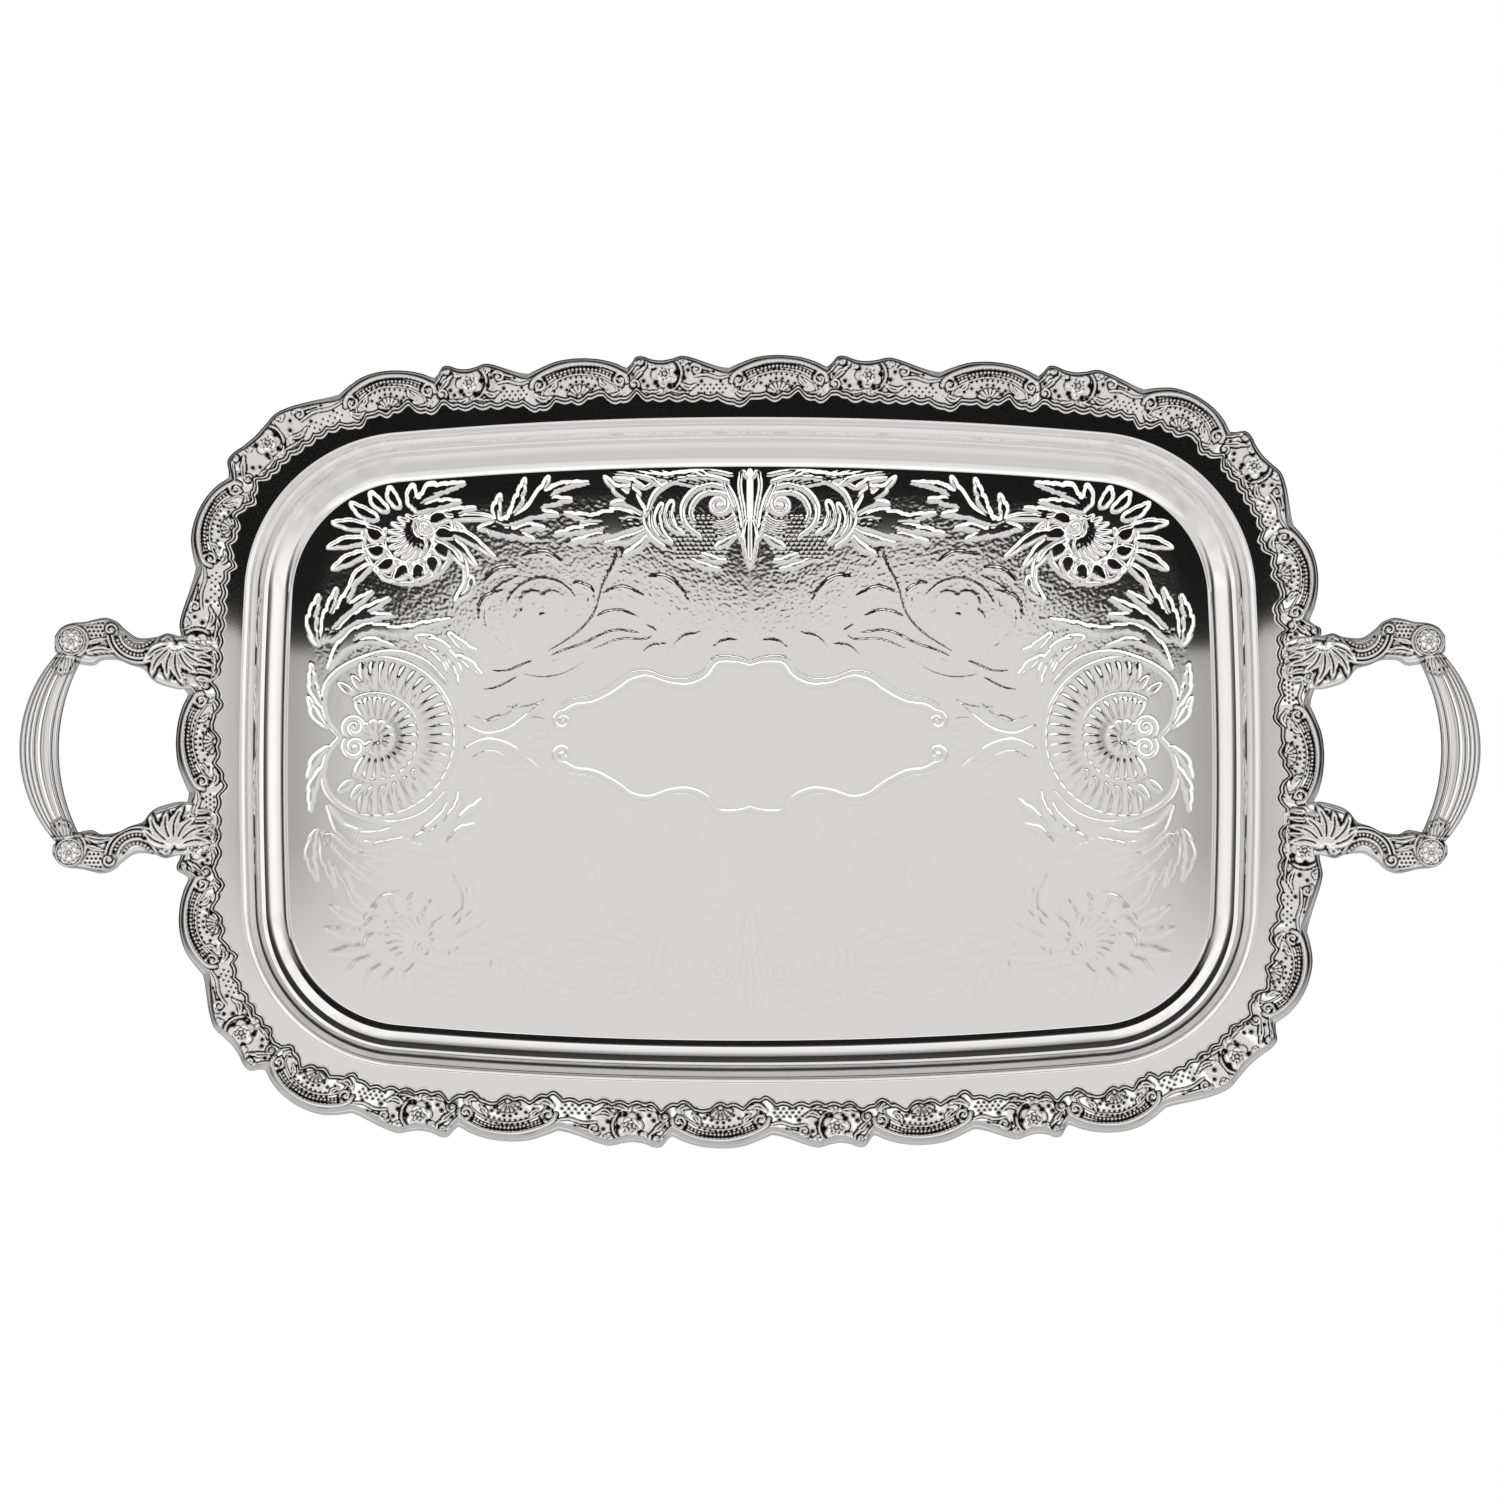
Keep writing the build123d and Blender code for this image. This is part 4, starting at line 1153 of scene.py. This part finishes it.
def grip(side, hand):
    """Reeded bow: a fine inner reed, a broad band and three fine outer reeds."""
    low, high = node_box(f"{side}_grip")
    z_mid = (low[2] + high[2]) / 2
    y = GRIP_HALF * np.linspace(-1, 1, GRIP_COLUMNS)
    x_out = bow(GRIP_OUTSIDE, OUTER_BOW, y)
    x_in = bow(GRIP_INSIDE, INNER_BOW, y)
    across = np.linspace(0, 1, GRIP_ROWS)[:, None]
    bulge = np.zeros_like(across)
    for start, end in zip(GRIP_REEDS[:-1], GRIP_REEDS[1:]):
        local = np.clip((across - start) / (end - start), 0, 1)
        inside = (across >= start) & (across <= end)
        bulge = np.where(inside, rounded(local, 2.6) * min((end - start) * 1.7, 0.42), bulge)
    x = x_in + (x_out - x_in) * across
    sheet = Chased(x, np.repeat(y[None, :], GRIP_ROWS, 0))
    chase_grip(sheet)
    relief = sheet.h.reshape(x.shape)
    inset = smooth(np.minimum(across, 1 - across) * 8)
    z_top = z_mid + 3.3 * rounded(across) ** 0.8 + bulge * 3.2 + relief * inset
    # painted shade along the cuts between the reeds, with the hollows of the relief
    cuts = np.exp(-np.min([((across - at) / 0.014) ** 2 for at in GRIP_REEDS[1:-1]], 0))
    hollow = np.maximum(hollows(relief, 3, 0.5), cuts)
    back = across_back(GRIP_BACK_ROWS)
    z_low = z_mid - 4.4 * rounded(back) ** 0.8 + 0 * y
    z = np.vstack([z_top, z_low, z_top[:1]])
    x = np.vstack([x, x_in + (x_out - x_in) * back, x[:1]]) * hand
    y = np.repeat(y[None, :], z.shape[0], 0)
    chased_piece(f"{side}_reeded_grip", x, y, z, hollow, grip_plate, f"{side}_grip")


# edges of an arm in plan: x along the tray, y out from its middle line
ARM_OUTER = ((236, 46), (243, 50), (252.8, 50.1), (258.8, 51.4), (263, 49.9), (268, 49.2),
             (272.4, 49.6), (277.5, 53.1), (281, 56.4), (286, 58.2), (291, 57.4), (295.4, 56.3),
             (301, 55.8), (305.5, 54.0), (308.2, 50.5))
ARM_INNER = ((236, 32), (243, 27.5), (251.1, 26.3), (255.4, 26.7), (262, 28.6), (265.6, 31.0),
             (269, 35.2), (275, 37.2), (280.1, 39.2), (286.9, 39.2), (291.1, 36.9), (296.2, 37.2),
             (301, 38.6), (305.5, 40.0), (308.2, 43.0))
# upper and lower limit of an arm: place along the tray, height
ARM_RIDGE = ((236, 18.2), (246, 21.0), (256, 21.6), (268, 22.6), (290, 24.2), (300, 24.8), (308.2, 23.4))
ARM_FOOT = ((236, 18.0), (250, 18.0), (256, 14.6), (262, 14.2), (308.2, 15.2))
ARM_SPAN = (236.2, 308.2)
ARM_COLUMNS = 176
ARM_ROWS = 64
ARM_BACK_ROWS = 20
ARM_SINK = 0.8                       # let into the sheet below, so that it seats
ARM_ROUND = 3.2                      # a full round is 2, more is squarer
FRONT_ARM_IN = 2.6                   # the front arms stand this much further in


def chase_arm(sheet):
    """Crescent shell, leafy foot, pitted patch and knee of an arm."""
    middle = (270.8, 51.5)
    for k, radius in enumerate((14.0, 12.0, 8.6)):
        sheet.wire(ring_arc(middle, radius, 188, 352, squash=0.98), 0.75, 1.4 - 0.2 * k, tips=0.8)
    sheet.beads(ring_arc(middle, 10.3, 192, 348), 1.7, 0.72, 1.2)
    sheet.beads(ring_arc(middle, 6.4, 200, 340), 1.7, 0.72, 1.0)
    sheet.volute((283.4, 52.6), 2.6, 180, -1.3, 0.7, 1.5)
    sheet.volute((258.2, 47.6), 2.4, 0, 1.3, 0.7, 1.5)
    root = (254.5, 46.5)
    for k in range(7):
        a = radians(186 + 24 * k)
        reach = 17 + 2.5 * (k % 2)
        tip = (root[0] + reach * cos(a), root[1] + reach * sin(a))
        mid = (root[0] + 0.55 * reach * cos(a + 0.22), root[1] + 0.55 * reach * sin(a + 0.22))
        sheet.leaf(curve(root, mid, tip, steps=6), 3.1, 1.7, lobes=2, cut=0.2)
        pit = (root[0] + 0.8 * reach * cos(a + 0.26), root[1] + 0.8 * reach * sin(a + 0.26))
        sheet.pit(pit, 0.8, 0.7)
    for rise in (29.5, 33.0, 36.5, 40.0, 43.5):
        sheet.leaf(curve((246, rise + 1.5), (242, rise + 1.2), (238, rise)), 1.7, 1.4, lobes=1, cut=0)
        sheet.pit((239.5, rise + 2.3), 0.6, 0.6)
    sheet.rose((247.5, 36.5), 3.4, 5, 1.9, rounds=2)
    for row in range(4):
        for k in range(4):
            sheet.pit((287.0 + 1.9 * k + 0.9 * (row % 2), 55.6 - 1.9 * row), 0.55, 0.9)
    sheet.leaf(curve((294.5, 42.0), (288, 43.5), (281, 42.4)), 2.3, 1.5, lobes=4)
    sheet.leaf(curve((294.5, 46.0), (289, 47.5), (284.5, 48.6)), 1.5, 1.2, lobes=3)
    sheet.wire(ring_arc((300.5, 47.1), 7.0, 0, 360), 0.7, 1.2, tips=1)
    sheet.wire(curve((284.6, 56.8), (291, 56.0), (299, 54.6)), 0.6, 0.9)

def arm(side, hand_x, place, hand_y):
    """One cast arm, from its leafy foot on the border to the knee."""
    along = np.linspace(*ARM_SPAN, ARM_COLUMNS)
    outer, inner, ridge, foot = (np.interp(along, *np.transpose(line)) for line in
                                 (curve(*ARM_OUTER), curve(*ARM_INNER), ARM_RIDGE, ARM_FOOT))
    inward = FRONT_ARM_IN if place == "front" else 0.0
    outer = outer - inward
    inner = inner - inward * smooth((300 - along) / 30)
    share = np.linspace(0, 1, ARM_ROWS)[:, None]
    back = across_back(ARM_BACK_ROWS)
    v = inner + (outer - inner) * share
    half = np.clip((ridge - foot) / 2, 0.2, None)
    sheet = Chased(np.repeat(along[None, :], ARM_ROWS, 0), v + inward)
    chase_arm(sheet)
    relief = sheet.h.reshape(v.shape) * smooth(np.minimum(share, 1 - share) * 9)
    # painted shade in the hollows and pits
    hollow = np.maximum(hollows(relief, 3, 0.55), sheet.painted_shade.reshape(v.shape))
    z_top = foot + half + half * rounded(share, ARM_ROUND) + relief - ARM_SINK
    z_low = foot + half - half * rounded(back, ARM_ROUND) - ARM_SINK
    z = np.vstack([z_top, z_low, z_top[:1]])
    v = np.vstack([v, inner + (outer - inner) * back, v[:1]])
    x = np.repeat(along[None, :], v.shape[0], 0)
    chased_piece(f"{side}_{place}_scroll_arm", x * hand_x, v * hand_y, z, hollow, cast_plate,
                 f"{side}_{place}_arm")


ROSETTE_TURNS = 97
ROSETTE_RINGS = 34
ROSETTE_SKIRT = (-1.6, -2.6)         # rows below the boss, from the node's lower end
ROSETTE_SINK = 1.0


def rosette(side, place):
    """Rosette over a knee: a round boss with rounds of petals in a ring."""
    low, high = node_box(f"{side}_{place}_rosette")
    centre = (low + high) / 2
    radius = (high[0] - low[0]) / 2
    turns = np.linspace(0, 2 * pi, ROSETTE_TURNS)
    share = np.linspace(0.0, 1.0, ROSETTE_RINGS)[:, None]
    x = radius * share * np.cos(turns)
    y = radius * share * np.sin(turns)
    sheet = Chased(x, y)
    sheet.rose((0, 0), radius * 0.86, 6, 1.6, rounds=3)
    sheet.wire(ring_arc((0, 0), radius * 0.93, 0, 360, steps=60), 0.55, 1.2, tips=1)
    relief = sheet.h.reshape(x.shape)
    relief[:, -1] = relief[:, 0]
    boss = 0.9 + 0.7 * (1 - share ** 2) + 0 * turns
    z = low[2] - ROSETTE_SINK + (boss + relief * smooth((1 - share) * 12))
    skirt = np.array(ROSETTE_SKIRT)[:, None] + low[2] + 0 * turns
    x = np.vstack([x, x[-1:], x[-1:]]) + centre[0]
    y = np.vstack([y, y[-1:], y[-1:]]) + centre[1]
    z = np.vstack([z, skirt])
    for part in (x, y, z):
        part[:, -1] = part[:, 0]
    # painted shade in the hollows between the petals
    chased_piece(f"{side}_{place}_rosette_boss", x, y, z, hollows(relief, 2, 0.45), cast_plate,
                 f"{side}_{place}_rosette")


# --- build ----------------------------------------------------------------------------------
for place_x, side_x in (("left", -1), ("right", 1)):
    for place_y, side_y in (("back", 1), ("front", -1)):
        floor_quarter(f"floor_{place_y}_{place_x}", side_x, side_y)
pan_wall()
for index in range(1, len(STATIONS) - 1):
    border_casting(index)
for side, hand_x in (("left", -1), ("right", 1)):
    grip(side, hand_x)
    for place, hand_y in (("back", 1), ("front", -1)):
        arm(side, hand_x, place, hand_y)
        rosette(side, place)
for fixing in ("handle_studs", "handle_washers", "handle_cap_nuts"):
    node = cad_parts[fixing]
    node.data.materials.clear()
    node.data.materials.append(fixing_plate)


# --- stage, light and camera ------------------------------------------------------------------
WHITE = (1.0, 1.0, 1.0, 1.0)
BLACK = (0.0, 0.0, 0.0, 1.0)
FLOOR_HALF = 11.0                    # stage sizes, in metres
SURROUND_RADIUS = 14.0


def pale_glow(name, see_through_back=False):
    """Even white light, which can be see-through from behind."""
    paint = new_paint(name)
    glow = paint.node("ShaderNodeEmission", Color=WHITE, Strength=1.0)
    if see_through_back:
        behind = paint.node("ShaderNodeNewGeometry", out="Backfacing")
        clear = paint.node("ShaderNodeBsdfTransparent")
        glow = paint.node("ShaderNodeMixShader", _0=behind, _1=glow, _2=clear)
    paint.into("Material Output", Surface=glow)
    return paint.owner


def stage_object(name, bm, material):
    """An object of the stage from a bmesh: nothing of it falls on the tray as a shadow."""
    mesh = bpy.data.meshes.new(name)
    bm.to_mesh(mesh)
    bm.free()
    mesh.materials.append(material)
    stage = bpy.data.objects.new(name, mesh)
    bpy.context.scene.collection.objects.link(stage)
    stage.visible_shadow = False
    return stage


def add_stage():
    """Pale floor and surround that the camera sees but the silver doesn't mirror."""
    floor = bmesh.new()
    bmesh.ops.create_grid(floor, x_segments=1, y_segments=1, size=FLOOR_HALF)
    surround = bmesh.new()
    bmesh.ops.create_icosphere(surround, subdivisions=4, radius=SURROUND_RADIUS)
    for stage in (stage_object("stage_floor", floor, pale_glow("pale_floor", see_through_back=True)),
                  stage_object("stage_surround", surround, pale_glow("pale_surround"))):
        stage.visible_glossy = False
        stage.visible_diffuse = False


def stripes(*stops):
    """Ramp stops from angles off the zenith, in degrees, and levels of light."""
    return [(angle / 180.0, (level, level, level, 1.0)) for angle, level in stops]


# light that the silver mirrors, from straight up to straight down
BELOW = ((91, 0.004), (100, 0.004), (106, 0.3), (132, 0.3), (138, 0.004), (166, 0.004), (174, 0.4),
         (180, 0.4))
BACK_STRIPES = stripes((0, 0.006), (14, 0.006), (16, 1.15), (37, 1.0), (40, 0.01), (50, 0.01), (53, 0.95),
                       (59, 0.85), (62, 0.02), (70, 0.04), (76, 0.5), (88, 0.45), *BELOW)
SIDE_STRIPES = stripes((0, 1.0), (30, 1.0), (35, 0.95), (38, 0.02), (42, 0.02), (44, 0.95), (60, 0.85),
                       (63, 0.02), (70, 0.03), (75, 0.7), (87, 0.45), *BELOW)
FRONT_STRIPES = stripes((0, 1.0), (12, 1.1), (30, 1.05), (44, 0.62), (55, 0.55), (66, 0.8), (87, 0.5),
                        (93, 0.42), (140, 0.45), (180, 0.3))
TENT_STRENGTH = 1.2
STRIPE_SPREAD = 1.6                  # how soon the side stripes give way to the others


def studio_world():
    """A pale tent over the tray with dark gaps that sharpen the silver."""
    world = bpy.data.worlds.new("light_tent")
    tent = Paint(world)
    way = tent.node("ShaderNodeTexCoord", out="Generated")
    x, y, z = tent.split(way)
    flat = tent.maths("MAXIMUM", tent.maths("SQRT", x * x + y * y), 0.0001)
    off_zenith = tent.maths("ARCCOSINE", z) * (1 / pi)
    to_back = y / flat * STRIPE_SPREAD

    def ramp(stops):
        return tent.node("ShaderNodeValToRGB", {"stops": stops}, Fac=off_zenith)

    light = tent.blend(to_back.clamp(), ramp(SIDE_STRIPES), ramp(BACK_STRIPES))
    light = tent.blend((to_back * -1.0).clamp(), light, ramp(FRONT_STRIPES))
    clouds = tent.node("ShaderNodeTexNoise", Vector=way, Scale=9.0, Detail=2.0)
    light = tent.blend((clouds - 0.5) * 0.5 + 0.05, light, BLACK)
    tent.into("Background", Color=light, Strength=TENT_STRENGTH)
    return world


# canopy over the tray: its back edge from the middle to the right, in metres
CANOPY_HEIGHT = 0.7
CANOPY_EDGE = ((0.0, 0.156), (0.03, 0.166), (0.064, 0.181), (0.11, 0.180), (0.15, 0.169), (0.184, 0.141),
               (0.22, 0.124), (0.258, 0.119), (0.31, 0.134), (0.36, 0.14))
CANOPY_FRONT = -0.22
CANOPY_STRENGTH = 1.2
CANOPY_SHADES = ((0.52, 0.52, 0.515, 1.0), (0.7, 0.7, 0.7, 1.0))
CANOPY_DIM = (0.14, 0.14, 0.14, 1.0)
CANOPY_DIMMING = 0.7                 # share of the dim shade in the two side bands


def canopy_glow():
    """Light of the canopy: softly clouded, with a dimmer band towards each side."""
    paint = new_paint("canopy_glow")
    x, y, _ = paint.split(paint.place())
    off_middle = paint.maths("ABSOLUTE", x)
    band = (off_middle * 16.0 - 3.3).clamp() * (5.4 - off_middle * 17.0).clamp()
    band = band * (y * 12.0 + 0.9).clamp()
    shade = paint.blend(paint.noise(0.006, detail=1.0), *CANOPY_SHADES)
    shade = paint.blend(band * CANOPY_DIMMING, shade, CANOPY_DIM)
    paint.into("Material Output", Surface=paint.node("ShaderNodeEmission", Color=shade,
                                                     Strength=CANOPY_STRENGTH))
    return paint.owner


def add_canopy():
    """Soft light panel over the tray, with an arched back edge that the floor mirrors."""
    half = [Vector((x, y, CANOPY_HEIGHT)) for x, y in curve(*CANOPY_EDGE)]
    flip = Vector((-1, 1, 1))
    front = Vector((half[-1].x, CANOPY_FRONT, CANOPY_HEIGHT))
    corners = [corner * flip for corner in half[:0:-1]] + half + [front, front * flip]
    bm = bmesh.new()
    face = bm.faces.new([bm.verts.new(corner) for corner in corners])
    bmesh.ops.triangulate(bm, faces=[face])
    stage_object("light_canopy", bm, canopy_glow()).visible_camera = False


add_stage()
add_canopy()
bpy.context.scene.world = studio_world()

CAMERA_DISTANCE = 2.6
CAMERA_ELEVATION = radians(85)
FIELD = 0.667                        # width of the view at the tray
SENSOR = 36.0
AIM = Vector((0.0, 0.0, 0.010))
camera_data = bpy.data.cameras.new("camera")
camera_data.sensor_width = SENSOR
camera_data.lens = SENSOR * CAMERA_DISTANCE / FIELD
camera = bpy.data.objects.new("camera", camera_data)
camera.location = AIM + CAMERA_DISTANCE * Vector((0, -cos(CAMERA_ELEVATION), sin(CAMERA_ELEVATION)))
camera.rotation_euler = (AIM - camera.location).to_track_quat("-Z", "Y").to_euler()
bpy.context.scene.collection.objects.link(camera)
bpy.context.scene.camera = camera
bpy.context.scene.view_settings.view_transform = "Standard"
